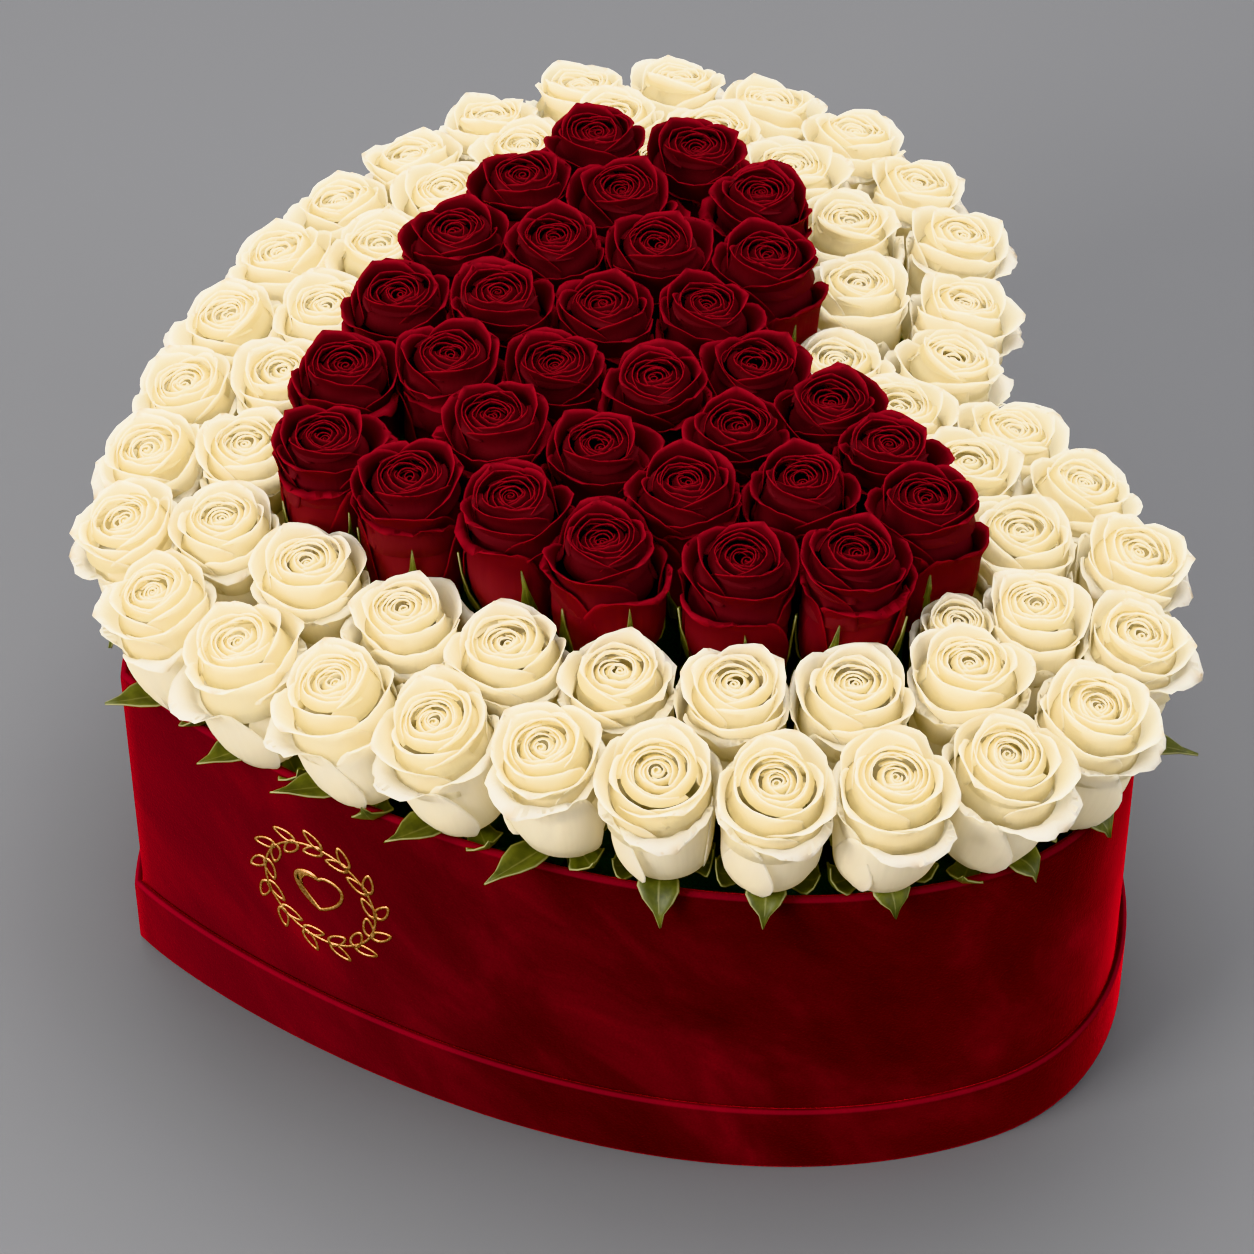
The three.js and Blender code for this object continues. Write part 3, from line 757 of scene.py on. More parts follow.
# Painted shade deep in the bloom and below the rims
SHADE_POWER = 0.4
RIM_SHADE = 0.04  # share of the painted shade that a rim still has
SHADE_BELOW_RIM = 0.22  # share of a petal's length over which the painted shade grows below its rim
PETAL_THICKNESS = (0.6, 0.3)  # at the base and at the rim
FIRST_SWING = 0.2  # radians by which a layer may be turned out of its place in the spiral
TURN_VARIATION = 0.12  # of the step from petal to petal
SIZE_VARIATION_OF_LEAN = 0.5
RUFFLE_SCALE = 150.0  # waves to a metre
WHITE_SEEDS = range(11, 17)  # one for each variant of the bloom
RED_SEEDS = range(51, 56)
LAYER_SEEDS = 20  # seeds set aside for the layers of a bloom
BLOOM_SEED = 900
WHITE_UNREST = 1.4
RED_UNREST = 1.5
EDGE_TURN = 0.6  # a rose at the edge turns one outer petal outwards, within this angle


def smooth_profile(corners):
    """Points of a smooth curve through the corners of a profile"""
    corners = np.asarray(corners, float)
    padded = np.vstack([2 * corners[0] - corners[1], corners, 2 * corners[-1] - corners[-2]])
    pieces = []
    t = np.linspace(0, 1, PROFILE_STEPS, endpoint=False)[:, None]
    for a, b, c, d in zip(padded, padded[1:], padded[2:], padded[3:]):
        bend = (2 * a - 5 * b + 4 * c - d) * t**2 + (3 * b - a - 3 * c + d) * t**3
        pieces.append(0.5 * (2 * b + (c - a) * t + bend))
    return np.vstack(pieces + [corners[-1:]])


def petal_sheet(layer):
    """One petal of a layer as a sheet facing along +X, with its own coordinates as attributes"""
    columns, rows = layer.cells[0] + 1, layer.cells[1] + 1
    even = np.linspace(-1, 1, columns)
    crowded = (1 - SIDE_CROWDING) * even + SIDE_CROWDING * np.sin(even * math.pi / 2)
    across, along = np.meshgrid(crowded, np.linspace(0, 1, rows) ** RIM_CROWDING)
    curve = smooth_profile(layer.profile)
    length = passed_along(curve)[-1]
    tip = layer.tip / length * (1 - np.exp(-((across / TIP_WIDTH) ** 2)))
    chance = np.random.default_rng(NOTCH_SEED + layer.cells[0])
    notches = chance.uniform(0, layer.ragged / length, columns) * along**NOTCH_POWER
    reach = along * (1 - layer.rounding * np.abs(across) ** CORNER_POWER - tip - notches)
    profile = evenly(curve, PROFILE_POINTS)
    places = np.arange(PROFILE_POINTS)
    radius, height = (np.interp(reach * places[-1], places, column) for column in profile.T)
    widening = np.sin(np.pi / 2 * np.clip(reach / FULL_WIDTH, 0, 1))
    angle = across * layer.half * (layer.narrow + (1 - layer.narrow) * widening)
    radius = radius + layer.spiral * across + layer.flare * np.abs(across) ** FLARE_POWER * along
    height = height - layer.arch * across**2 * reach
    points = np.stack([radius * np.cos(angle), radius * np.sin(angle), height], axis=-1)
    # An inner petal's sheet starts well up the petal, where its colour is already pale
    first = INNER_START if layer.depth > 0 else 0.0
    # Painted shade: the colour deepens on inner layers, and more below the rim than at it
    below_rim = 1 - np.exp(-(1 - along) / SHADE_BELOW_RIM)
    painted_shade = layer.depth**SHADE_POWER * (RIM_SHADE + (1 - RIM_SHADE) * below_rim)
    own = np.stack([across, first + (1 - first) * along, painted_shade], axis=-1)
    rim = np.clip((reach - FULL_WIDTH) / RUFFLE_LENGTH, 0, 1) ** RUFFLE_POWER
    attributes = {"petal": own.reshape(-1, 3), "rim": rim.ravel()}
    return points.reshape(-1, 3), grid_faces(rows, columns), attributes


WHORL_INPUTS = {
    "Petal": "Object", "Count": "Int", "First turn": "Float", "Step": "Float",
    "Turn variation": "Float", "Lean variation": "Float", "Size variation": "Float",
    "Ruffle": "Float", "Ruffle scale": "Float", "Seed": "Int", "Material": "Material",
}
SEED_STEP = 31.0  # between the draws for turn, lean and size


def whorl_tree():
    """Geometry nodes that set copies of a petal round a bloom's axis, each turned, leant and sized a
    little differently, and ruffle their rims"""
    tree = bpy.data.node_groups.new("Petal whorl", "GeometryNodeTree")
    for name, kind in WHORL_INPUTS.items():
        tree.interface.new_socket(name, in_out="INPUT", socket_type=f"NodeSocket{kind}")
    tree.interface.new_socket("Whorl", in_out="OUTPUT", socket_type="NodeSocketGeometry")
    given = add(tree, "NodeGroupInput").outputs
    line = add(tree, "GeometryNodeMeshLine", {"Count": given["Count"], "Offset": (0, 0, 0)})
    stepped = add(
        tree, "ShaderNodeMath",
        {0: add(tree, "GeometryNodeInputIndex"), 1: given["Step"], 2: given["First turn"]},
        operation="MULTIPLY_ADD",
    )
    spread = []
    for k, name in enumerate(("Turn variation", "Lean variation", "Size variation")):
        seed = add(tree, "ShaderNodeMath", {0: given["Seed"], 1: SEED_STEP * k}, operation="ADD")
        chance = add(tree, "FunctionNodeRandomValue", {2: -1.0, 3: 1.0, "Seed": seed}, data_type="FLOAT")
        share = {0: chance.outputs[1], 1: given[name]}
        spread.append(add(tree, "ShaderNodeMath", share, operation="MULTIPLY"))
    turn = add(tree, "ShaderNodeMath", {0: stepped, 1: spread[0]}, operation="ADD")
    size = add(tree, "ShaderNodeMath", {0: spread[2], 1: 1.0}, operation="ADD")
    petal = add(tree, "GeometryNodeObjectInfo", {"Object": given["Petal"]}).outputs["Geometry"]
    rotation = add(tree, "ShaderNodeCombineXYZ", {"Y": spread[1], "Z": turn})
    placed = add(
        tree, "GeometryNodeInstanceOnPoints",
        {"Points": line, "Instance": petal, "Rotation": rotation, "Scale": size},
    )
    tint = add(
        tree, "FunctionNodeRandomValue", {2: 0.0, 3: 1.0, "Seed": given["Seed"]}, data_type="FLOAT"
    )
    tinted = add(
        tree, "GeometryNodeStoreNamedAttribute",
        {"Geometry": placed, "Name": "tint", "Value": tint.outputs[1]},
        data_type="FLOAT", domain="INSTANCE",
    )
    real = add(tree, "GeometryNodeRealizeInstances", {0: tinted})
    where = add(tree, "GeometryNodeInputPosition")
    noise = add(
        tree, "ShaderNodeTexNoise",
        {
            "Vector": where, "W": given["Seed"], "Scale": given["Ruffle scale"], "Detail": 3.0,
            "Roughness": 0.65,
        },
        noise_dimensions="4D",
    )
    centred = add(
        tree, "ShaderNodeVectorMath", {0: noise.outputs["Color"], 1: (0.5, 0.5, 0.5)},
        operation="SUBTRACT",
    )
    rim = add(tree, "GeometryNodeInputNamedAttribute", {"Name": "rim"}, data_type="FLOAT")
    strength = add(tree, "ShaderNodeMath", {0: rim, 1: given["Ruffle"]}, operation="MULTIPLY")
    ruffle = add(tree, "ShaderNodeVectorMath", {0: centred, "Scale": strength}, operation="SCALE")
    ruffled = add(tree, "GeometryNodeSetPosition", {"Geometry": real, "Offset": ruffle})
    painted = add(tree, "GeometryNodeSetMaterial", {"Geometry": ruffled, "Material": given["Material"]})
    add(tree, "NodeGroupOutput", {0: painted})
    return tree


def field_values(data, field, width, kind=np.float32):
    """Values of one field of a mesh's data, a row for each element"""
    values = np.empty(len(data) * width, kind)
    data.foreach_get(field, values)
    return values.reshape(-1, width)


def whorl(tree, values):
    """Points, quads, petal coordinates and tints that the whorl tree makes with the given inputs"""
    carrier = bpy.data.objects.new("whorl", bpy.data.meshes.new("whorl"))
    bpy.context.scene.collection.objects.link(carrier)
    modifier = carrier.modifiers.new("whorl", "NODES")
    modifier.node_group = tree
    for socket in tree.interface.items_tree:
        if socket.name in values:
            modifier[socket.identifier] = values[socket.name]
    seen = carrier.evaluated_get(bpy.context.evaluated_depsgraph_get())
    mesh = bpy.data.meshes.new_from_object(seen)
    points = field_values(mesh.vertices, "co", 3).astype(float) / MM
    faces = field_values(mesh.loops, "vertex_index", 1, np.int32).reshape(-1, 4)
    own = field_values(mesh.attributes["petal"].data, "vector", 3)
    tint = field_values(mesh.attributes["tint"].data, "value", 1).ravel()
    bpy.data.meshes.remove(mesh)
    bpy.data.objects.remove(carrier)
    return points, faces, own, tint


def bloom_variant(seed, tree, sheets, material, unrest):
    """All petals of one bloom standing at the origin. unrest scales how far they lean and ruffle."""
    chance = np.random.default_rng(seed)
    whorls = []
    for number, (layer, sheet) in enumerate(zip(LAYERS, sheets)):
        step = TURN / layer.petals
        whorls.append(whorl(tree, {
            "Petal": sheet,
            "Count": layer.petals,
            "First turn": number * GOLDEN_ANGLE + chance.uniform(-FIRST_SWING, FIRST_SWING),
            "Step": step,
            "Turn variation": TURN_VARIATION * step,
            "Lean variation": unrest * layer.loose,
            "Size variation": SIZE_VARIATION_OF_LEAN * layer.loose,
            "Ruffle": unrest * layer.ruffle * MM,
            "Ruffle scale": RUFFLE_SCALE,
            "Seed": seed * LAYER_SEEDS + number,
            "Material": material,
        }))
    return joined(whorls)


def point_normals(points, faces):
    """Outward direction at each point of a sheet of quads"""
    a, b, c, d = (points[faces[:, k]] for k in range(4))
    face_normals = np.cross(c - a, d - b)
    normals = np.zeros_like(points)
    for k in range(4):
        np.add.at(normals, faces[:, k], face_normals)
    return normals / np.maximum(np.linalg.norm(normals, axis=1), 1e-9)[:, None]


def open_edges(faces):
    """Directed edges that only one quad has"""
    edges = np.vstack([faces[:, [k, (k + 1) % 4]] for k in range(4)])
    _, place, count = np.unique(np.sort(edges, axis=1), axis=0, return_index=True, return_counts=True)
    return edges[place[count == 1]]


def thickened(points, faces, thickness):
    """Gives a sheet a wall, half of it on each side. Returns points, faces and which faces are of the
    inner side."""
    half = point_normals(points, faces) * np.broadcast_to(thickness, len(points))[:, None] / 2
    count = len(points)
    edge = open_edges(faces)
    rim = np.column_stack([edge[:, 1], edge[:, 0], edge[:, 0] + count, edge[:, 1] + count])
    all_faces = np.vstack([faces, faces[:, ::-1] + count, rim])
    inner = np.r_[np.zeros(len(faces)), np.ones(len(faces)), np.zeros(len(rim))]
    return np.vstack([points + half, points - half]), all_faces, inner


# Sepals. The corners of a path are a distance from the bloom's axis and a height above the bloom's
# foot. Where a sepal goes over the rim, its last three corners are a distance from the wall's outer
# face and a height above the rim.
SEPAL_PATHS = {
    "spread": [(5, -10), (19, -14), (26, -8), (28, 4)],
    "rising": [(5, -10), (20, -10), (25.5, 2), (26.5, 18)],
    "standing": [(5, -10), (22, -13), (26.5, 10), (28.5, 36)],
}
OVER_RIM_PATH = [(-6, 3.5), (5.5, 5.5), (6.5, -7)]
STANDING_OUT_PATH = [(-6, 3.5), (8, 6), (26, 9)]
HANGING_START = (5.0, -8)
PATH_JITTER = [[0], [0.4], [0.8], [2.0]]  # for each corner
FRONT_FACING = 0.2  # a sepal may stand out where its rose doesn't face the front
SIDE_FACING = 0.75
STANDING_OUT = 0.5  # share of those that do
SEPALS = 5
SEPAL_ROWS = 8
SEPAL_COLUMNS = 4
SEPAL_THICKNESS = 0.7
SEPAL_OUTLINE = {
    "at": [0, 0.3, 0.5, 0.64, 0.74, 0.83, 0.92, 1.0],
    "half_width": [3.6, 6.8, 9.2, 8.8, 5.8, 2.8, 1.1, 0.3],
}
SEPAL_WIDTHS = (0.88, 1.05)
INNER_SEPAL_WIDTH = 0.62  # of a sepal at the box's edge
SEPAL_SWAY = 3.5  # sideways at the tip
SWAY_POWER = 2.5
SEPAL_KEEL = 0.3  # how far its sides rise from the midrib, for each millimetre of half width
KEEL_POWER = 1.3
KEEL_VARIATION = (0.6, 1.3)
SEPAL_WAVE = 0.5
WAVE_ANGLE = 7
WAVE_STARTS = (0, 6)
FIRST_SEPAL_SWING = 0.25
SEPAL_SWING = 0.14
CALYX_PROFILE = [(3.0, -19), (3.4, -16), (5.4, -14), (6.9, -11), (7.6, -8.4), (7.2, -6.6), (3.0, -6)]
ROUND_STEPS = 10
PLAIN_GREEN = 0.5  # neither margin nor midrib
GREENS_SEED = 500


def wall_distance(point, direction):
    """How far the wall's outer face lies from a point in plan"""
    edge = np.roll(WALL_OUTLINE, -1, axis=0) - WALL_OUTLINE
    lead = WALL_OUTLINE - point
    turn = direction[0] * edge[:, 1] - direction[1] * edge[:, 0]
    distance = (lead[:, 0] * edge[:, 1] - lead[:, 1] * edge[:, 0]) / turn
    share = (lead[:, 0] * direction[1] - lead[:, 1] * direction[0]) / turn
    return np.min(distance[(distance > 0) & (share >= 0) & (share <= 1)])


def sepal_sheet(one, kind, angle, width, chance):
    """A leaf-shaped sheet in place, folded a little along its midrib"""
    share = np.linspace(0, 1, SEPAL_ROWS)
    across = np.linspace(-1, 1, SEPAL_COLUMNS + 1)
    half = np.interp(share, SEPAL_OUTLINE["at"], SEPAL_OUTLINE["half_width"])[:, None] * width
    sway = chance.uniform(-SEPAL_SWAY, SEPAL_SWAY) * share**SWAY_POWER
    side = half * across + sway[:, None]
    keel = SEPAL_KEEL * half * np.abs(across) ** KEEL_POWER * chance.uniform(*KEEL_VARIATION)
    wave = SEPAL_WAVE * np.sin(WAVE_ANGLE * share + chance.uniform(*WAVE_STARTS))[:, None] * across
    jitter = chance.normal(0, 1, (4, 2)) * PATH_JITTER
    c, s = math.cos(angle), math.sin(angle)
    hanging = kind == "hanging"
    if hanging:
        reach = wall_distance(one.base[:2], (c, s))
        may_stand_out = one.outward[0] < FRONT_FACING or abs(one.outward[1]) > SIDE_FACING
        stands_out = may_stand_out and chance.random() < STANDING_OUT
        over = STANDING_OUT_PATH if stands_out else OVER_RIM_PATH
        corners = [(HANGING_START[0], one.base[2] + HANGING_START[1])]
        corners += [(reach + r, RIM_Z + z) for r, z in over]
    else:
        corners = SEPAL_PATHS[kind]
    path, along = bezier(np.array(corners, float) + jitter, share)
    out = path[:, :1] - along[:, 1:] * (keel + wave)
    height = path[:, 1:] + along[:, :1] * (keel + wave)
    points = np.stack([out * c - side * s, out * s + side * c, height], axis=-1).reshape(-1, 3)
    if hanging:
        points[:, :2] += one.base[:2]
    else:
        points = one.kept_in_cell(one.placed(points))
    own = np.stack([across + 0 * side, share[:, None] + 0 * side, 0 * side], axis=-1).reshape(-1, 3)
    return points, grid_faces(SEPAL_ROWS, SEPAL_COLUMNS + 1), own


def calyx_and_stem(one):
    """Round calyx on its stem, down into the foam"""
    angle = TURN * np.arange(ROUND_STEPS) / ROUND_STEPS
    neck = one.base - one.up * NECK_DROP * one.size
    foot = np.array([neck[0], neck[1], STEM_FOOT_Z])
    rings = [foot + STEM_RADIUS * np.column_stack([np.cos(angle), np.sin(angle), 0 * angle])]
    for radius, height in CALYX_PROFILE:
        ring = np.column_stack([radius * np.cos(angle), radius * np.sin(angle), height + 0 * angle])
        rings.append(one.placed(ring))
    top = one.placed(np.array([[0.0, 0.0, CALYX_PROFILE[-1][1]]]))
    points = np.vstack([foot, *rings, top])
    own = np.zeros_like(points)
    own[:, 0] = PLAIN_GREEN
    return points, closed_faces(len(rings), ROUND_STEPS), own


def sepal_kind(one, away):
    """Which way a sepal grows that is so many places from its rose's outward side"""
    in_notch = one.base[1] > WIDEST_Y and abs(one.base[0]) < NOTCH_HALF_WIDTH
    if one.row == "white_outer" and not in_notch:
        return ("hanging", "spread", "rising")[away]
    if one.row == "red_outer" and away < 2:
        return "standing"
    return "rising"


def greens_of(one):
    """Stem, calyx and five sepals of a rose"""
    chance = np.random.default_rng(GREENS_SEED + one.index)
    parts = [calyx_and_stem(one)]
    if one.row in ("white_outer", "red_outer"):
        first = math.atan2(one.outward[1], one.outward[0])
    else:
        first = chance.uniform(0, TURN)
    first += chance.uniform(-FIRST_SEPAL_SWING, FIRST_SEPAL_SWING)
    for k in range(SEPALS):
        width = chance.uniform(*SEPAL_WIDTHS) * (1.0 if one.row == "white_outer" else INNER_SEPAL_WIDTH)
        angle = first + TURN * k / SEPALS + chance.uniform(-SEPAL_SWING, SEPAL_SWING)
        kind = sepal_kind(one, min(k, SEPALS - k))
        sheet, sheet_faces, own = sepal_sheet(one, kind, angle, width, chance)
        points, faces, _ = thickened(sheet, sheet_faces, SEPAL_THICKNESS)
        parts.append((points, faces, np.vstack([own, own])))
    return joined(parts)


def bloom_of(one, variants):
    """All petals of a rose in place, with their walls"""
    chance = np.random.default_rng(BLOOM_SEED + one.index)
    sheet, sheet_faces, own, tint = variants[one.index % len(variants)]
    turn = chance.uniform(0, TURN)
    if one.row == "white_outer":
        turn = math.atan2(one.outward[1], one.outward[0]) + EDGE_TURN * (turn / math.pi - 1)
    placed = one.placed(sheet, turn)
    if one.row == "white_outer":
        placed = one.opened(placed, own[:, 2] == 0, chance.uniform(*EAR_REACH))
    wall = np.interp(own[:, 1], (0, 1), PETAL_THICKNESS)
    points, faces, inner = thickened(one.kept_in_cell(placed), sheet_faces, wall)
    return points, faces, np.vstack([own, own]), np.r_[tint, tint], inner


def blooms_object(label, members, variants, materials):
    """Petals of a run of roses, with one material outside and one inside"""
    points, faces, own, tint, inner = joined([bloom_of(one, variants) for one in members])
    attributes = {"petal": own, "tint": tint}
    return mesh_object(f"petals_{label}", points, faces, materials, attributes, inner)


def greens_object(label, members, material):
    """Stems, calyxes and sepals of a run of roses"""
    points, faces, own = joined([greens_of(one) for one in members])
    return mesh_object(f"greens_{label}", points, faces, [material], {"petal": own})


def smooth_ring(offset):
    """Outline with the same number of points whatever its offset"""
    return with_left_half(evenly(right_half(offset, SMOOTH_STEPS, SMOOTH_STEPS), SMOOTH_STEPS + 1))


def arc(middle, radius, first, last, steps):
    """Points on an arc from one angle to another"""
    angles = np.linspace(first, last, steps)
    return [(middle[0] + radius * math.cos(a), middle[1] + radius * math.sin(a)) for a in angles]


def tray_object(name, offset, wall, bottom_z, floor, top_z, material):
    """Heart tray wrapped in velvet, its edges rounded where the cloth turns over, with a painted
    highlight along its rim and painted sheen towards the heart's tip
    """
    rim = wall / 2
    floor_z = bottom_z + floor
    profile = [(-FLOOR_EDGE, bottom_z)]
    profile += arc((-WRAP_ROUND, bottom_z + WRAP_ROUND), WRAP_ROUND, -math.pi / 2, 0, WRAP_POINTS)
    wall_heights = np.linspace(bottom_z + 2 * WRAP_ROUND, top_z - rim - BELOW_RIM, WALL_ROWS)
    profile += [(0.0, z) for z in wall_heights]
    profile += arc((-rim, top_z - rim), rim, 0, math.pi, RIM_POINTS)
    profile += [(-wall, floor_z), (-FLOOR_EDGE, floor_z)]
    rings = []
    sheen_shares = [[0.0]]
    for reach, z in profile:
        ring = smooth_ring(offset + reach)
        rings.append(np.column_stack([ring, np.full(len(ring), z)]))
        # Painted highlight along the outer rounding of the rim
        on_rim_highlight = z > top_z - RIM_HIGHLIGHT_FROM * rim and reach > -rim
        # Painted sheen, lighter towards the heart's tip
        nap = TIP_PAINTED_SHEEN * np.clip(1 - (ring[:, 1] - TIP_Y) / TIP_SHEEN_REACH, 0, 1)
        sheen_shares.append(nap + (RIM_HIGHLIGHT_SHARE if on_rim_highlight else 0.0))
    points = np.vstack([(0, LOBE_MIDDLE[1], bottom_z), *rings, (0, LOBE_MIDDLE[1], floor_z)])
    attributes = {"painted_sheen": np.concatenate(sheen_shares + [[0.0]])}
    return mesh_object(name, points, closed_faces(len(rings), 2 * SMOOTH_STEPS), [material], attributes)


# Ornament on the front: a plain heart in a ring of leaves, in lines of foil
ORNAMENT_REACH = 112.0  # from the heart's tip along the wall
ORNAMENT_Z = 100.0
WREATH_RADIUS = 29.0
LEAF_PAIRS = 13
LEAF_LENGTH = 12.5
LEAF_HALF_WIDTH = 3.0
LEAF_TILT = math.radians(33)
LEAF_STAGGER = 0.4  # along the ring, from the middle of a pair to each leaf's foot
LEAF_POINTS = 14
LEAF_END_LINE = 1.6  # width of the line at a leaf's pointed ends, as a share of LINE
LEAF_FULLNESS = 0.3  # how much fuller a leaf is towards its foot than in the middle
RING_POINTS = 52
SMALL_HEART = 0.052  # its size, as a share of the box's outline
SMALL_HEART_MIDDLE = (0.0, -21.0)  # its middle in the box's outline
LINE = 1.0
HEART_LINE = 1.4
FOIL_THICKNESS = 0.5
FOIL_LIFT = 0.1


def line_band(outer, inner):
    """Flat line between two closed loops that run anticlockwise"""
    corner = np.arange(len(outer))
    after = np.roll(corner, -1)
    faces = np.column_stack([corner, after, after + len(outer), corner + len(outer)])
    return np.vstack([outer, inner]), faces


def leaf_pair():
    """Two leaves that leave the ring at one place, one to each side, drawn as lines"""
    turn = TURN * np.arange(LEAF_POINTS) / LEAF_POINTS
    parts = []
    for side in (-1, 1):
        lines = []
        for inset in (0, LINE):
            half = LEAF_LENGTH / 2 - LEAF_END_LINE * inset
            along = LEAF_LENGTH / 2 + half * np.cos(turn) + LEAF_STAGGER * side
            across = (LEAF_HALF_WIDTH - inset) * np.sin(turn) * (1 - LEAF_FULLNESS * np.cos(turn))
            c, s = math.cos(LEAF_TILT * side), math.sin(LEAF_TILT * side)
            outwards = WREATH_RADIUS - across * c + along * s
            lines.append(np.column_stack([outwards, along * c + across * s]))
        parts.append(line_band(*lines))
    return joined(parts)


def ornament_object(tree, material):
    """Wreath, ring and small heart of foil, bent round the wall"""
    points, faces = leaf_pair()
    flat = np.column_stack([points, np.zeros(len(points))])
    attributes = {"petal": np.zeros_like(flat), "rim": np.zeros(len(flat))}
    pair = mesh_object("leaf_pair", flat, faces, [], attributes)
    step = TURN / LEAF_PAIRS
    values = {"Petal": pair, "Count": LEAF_PAIRS, "Step": step, "Seed": 1, "Material": material}
    leaves, leaf_faces, _, _ = whorl(tree, values)
    bpy.data.objects.remove(pair)
    turn = TURN * np.arange(RING_POINTS) / RING_POINTS
    circle = np.column_stack([np.cos(turn), np.sin(turn)])
    ring = line_band(circle * (WREATH_RADIUS + LINE / 2), circle * (WREATH_RADIUS - LINE / 2))
    hearts = [heart_outline(-inset / SMALL_HEART) for inset in (0, HEART_LINE)]
    heart_line = line_band(*[(heart - SMALL_HEART_MIDDLE) * SMALL_HEART for heart in hearts])
    points, faces = joined([(leaves[:, :2], leaf_faces), ring, heart_line])

    wall = right_half(FOIL_LIFT, SMOOTH_STEPS, SMOOTH_STEPS)
    on_wall = at_lengths(wall, ORNAMENT_REACH + points[:, 0])
    sheet = np.column_stack([on_wall, ORNAMENT_Z + points[:, 1]])
    points, faces, _ = thickened(sheet, faces, FOIL_THICKNESS)
    return mesh_object("foil_wreath", points, faces, [material])


# Velvet, foam and plants
velvet = velvet_material()
foam = foam_material()
WHITE_FLESH = {"specks": "#c8a468", "gloss": 0.3, "share through": 0.7, "light through": "#fffbee"}
RED_FLESH = {"specks": "#240104", "gloss": 0.08, "share through": 0.12, "light through": "#a00010"}
# After each ramp comes the painted shade colour deep in the bloom: for the whites a pale yellow that is
# partly their own heart, for the reds a strong darkening
white_petals = [
    petal_material(
        "white_petal_outside",
        # Greyer towards the base: partly the petal's own greenish base, partly painted shade on the
        # lower body
        [(0.0, "#e0ddc0"), (0.25, "#f0ebda"), (0.7, "#f9f3e8"), (0.92, "#fcf8f2"), (1.0, "#fdfbf8")],
        "#fff4c5", 0.5, 0.05, "#fffae8", WHITE_FLESH,
    ),
    petal_material(
        "white_petal_inside",
        [(0.0, "#fdeebc"), (0.4, "#fdf4d8"), (0.8, "#fdf8ee"), (1.0, "#fdfbf8")],
        "#fff2bd", 0.5, 0.05, "#fffae8", WHITE_FLESH,
    ),
]
red_petals = [
    petal_material(
        "red_petal_outside",
        # Brick at the base to deep crimson; the lighter line at the very rim is a painted highlight
        [(0.0, "#683234"), (0.4, "#6e2a2e"), (0.8, "#4c0d12"), (0.95, "#52080e"), (1.0, "#721118")],
        "#785058", 0.65, 0.06, "#c82c38", RED_FLESH,
    ),
    petal_material(
        "red_petal_inside",
        # Near black at the base, lighter to the rim: the crimson's own tone with painted shade in the
        # cup, and a painted highlight line at the very rim
        [(0.0, "#140002"), (0.5, "#2c0004"), (0.9, "#4c030a"), (1.0, "#6e0a15")],
        "#785058", 0.6, 0.08, "#d03040", RED_FLESH,
    ),
]
leaf = green_material()

tree = whorl_tree()
sheets = []
for number, layer in enumerate(LAYERS):
    points, faces, attributes = petal_sheet(layer)
    sheets.append(mesh_object(f"petal_sheet_{number}", points, faces, [], attributes))
white_blooms = [bloom_variant(seed, tree, sheets, white_petals[0], WHITE_UNREST) for seed in WHITE_SEEDS]
red_blooms = [bloom_variant(seed, tree, sheets, red_petals[0], RED_UNREST) for seed in RED_SEEDS]
for sheet in sheets:
    bpy.data.objects.remove(sheet)


def fit(piece, node):
    """Lets a finished piece stand for a CAD node"""
    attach(piece, "root")
    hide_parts(node)


for label, members in groups_of(all_roses()).items():
    if label.startswith("white"):
        petals = blooms_object(label, members, white_blooms, white_petals)
        fit(petals, f"blooms_{label}")
    else:
        petals = blooms_object(label, members, red_blooms, red_petals)
        fit(petals, f"blooms_{label}")
    fit(greens_object(label, members, leaf), f"stems_{label}")

box = tray_object("velvet_box", 0, WALL, LID_BASE, FLOOR, RIM_Z, velvet)
lid_wall = LID_WALL + CLOTH
lid = tray_object("velvet_lid", LID_GAP + lid_wall, lid_wall, 0, LID_BASE, LID_TOP_Z, velvet)
fit(box, "box")
fit(lid, "lid")
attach(ornament_object(tree, foil_material()), "root")
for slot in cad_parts["floral_foam"].material_slots:
    slot.material = foam

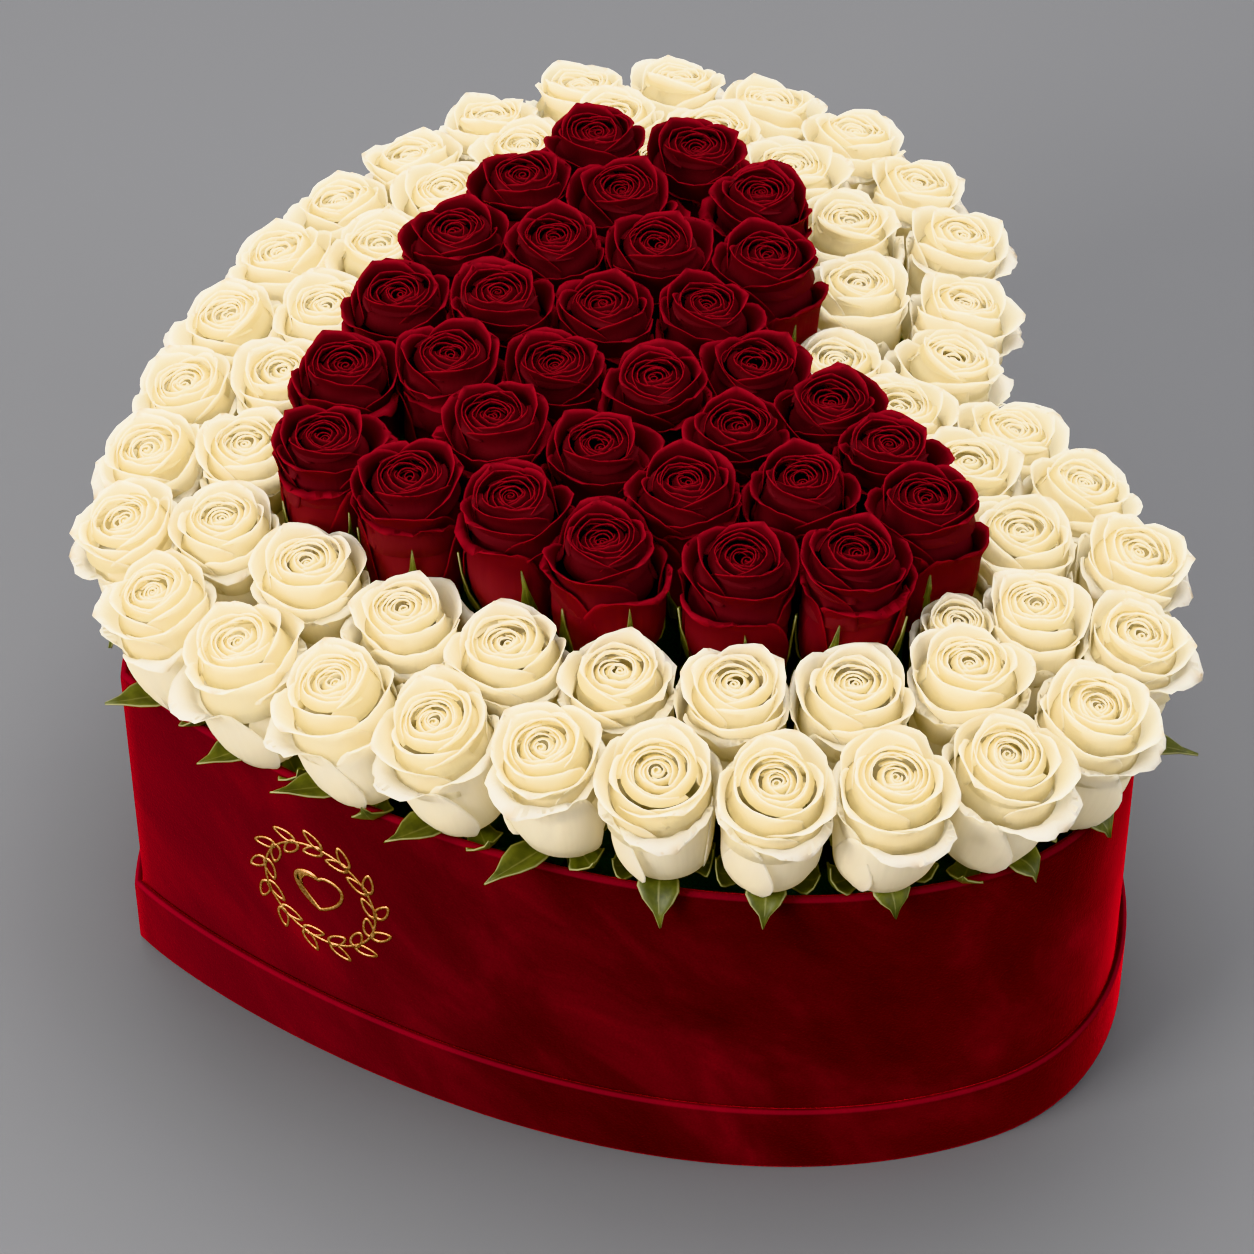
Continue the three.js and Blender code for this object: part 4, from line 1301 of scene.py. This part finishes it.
# Floor, light and camera
FLOOR_HALF = 6000.0
LIGHT_AIM = Vector((0.0, 0.02, 0.2))
floor_points = np.array([(x, y, 0) for x, y in ((-1, -1), (1, -1), (1, 1), (-1, 1))]) * FLOOR_HALF
floor = mesh_object("studio_floor", floor_points, np.array([[0, 1, 2, 3]]), [floor_material()])

world = bpy.data.worlds.new("studio")
world.use_nodes = True
bpy.context.scene.world = world
world.node_tree.nodes["Background"].inputs["Color"].default_value = linear("#f4f4f4")
world.node_tree.nodes["Background"].inputs["Strength"].default_value = 1.05
# The default transform takes the depth out of the dark reds
bpy.context.scene.view_settings.view_transform = "Khronos PBR Neutral"


def soft_light(name, place, size, power, code):
    """Softbox that looks at the middle of the roses. Its place and size are in metres."""
    data = bpy.data.lights.new(name, "AREA")
    data.shape = "RECTANGLE"
    data.size, data.size_y = size
    data.energy = power
    data.color = linear(code)[:3]
    made = bpy.data.objects.new(name, data)
    bpy.context.scene.collection.objects.link(made)
    made.location = place
    made.rotation_euler = (LIGHT_AIM - Vector(place)).to_track_quat("-Z", "Y").to_euler()


soft_light("overhead", (-0.4, 0.2, 2.4), (1.8, 1.8), 92, "#ffffff")
soft_light("left_window", (0.6, -2.2, 1.3), (1.2, 1.2), 95, "#fffdfa")
soft_light("right_fill", (1.6, 2.0, 1.4), (1.5, 1.5), 36, "#fcfdff")

back = Vector((
    math.sin(CAMERA_AZIMUTH) * math.cos(CAMERA_ELEVATION),
    -math.cos(CAMERA_AZIMUTH) * math.cos(CAMERA_ELEVATION),
    math.sin(CAMERA_ELEVATION),
))
level = Vector((math.cos(CAMERA_AZIMUTH), math.sin(CAMERA_AZIMUTH), 0))
right = level * math.cos(CAMERA_ROLL) + back.cross(level) * math.sin(CAMERA_ROLL)
top = back.cross(right)
camera_data = bpy.data.cameras.new("camera")
camera_data.sensor_width = SENSOR_MM
camera_data.lens = SENSOR_MM * FOCAL_PIXELS / PICTURE_PIXELS
camera = bpy.data.objects.new("camera", camera_data)
bpy.context.scene.collection.objects.link(camera)
place = (Vector(CAMERA_TARGET) + back * CAMERA_DISTANCE) * MM
camera.matrix_world = Matrix.Translation(place) @ Matrix((right, top, back)).transposed().to_4x4()
bpy.context.scene.camera = camera
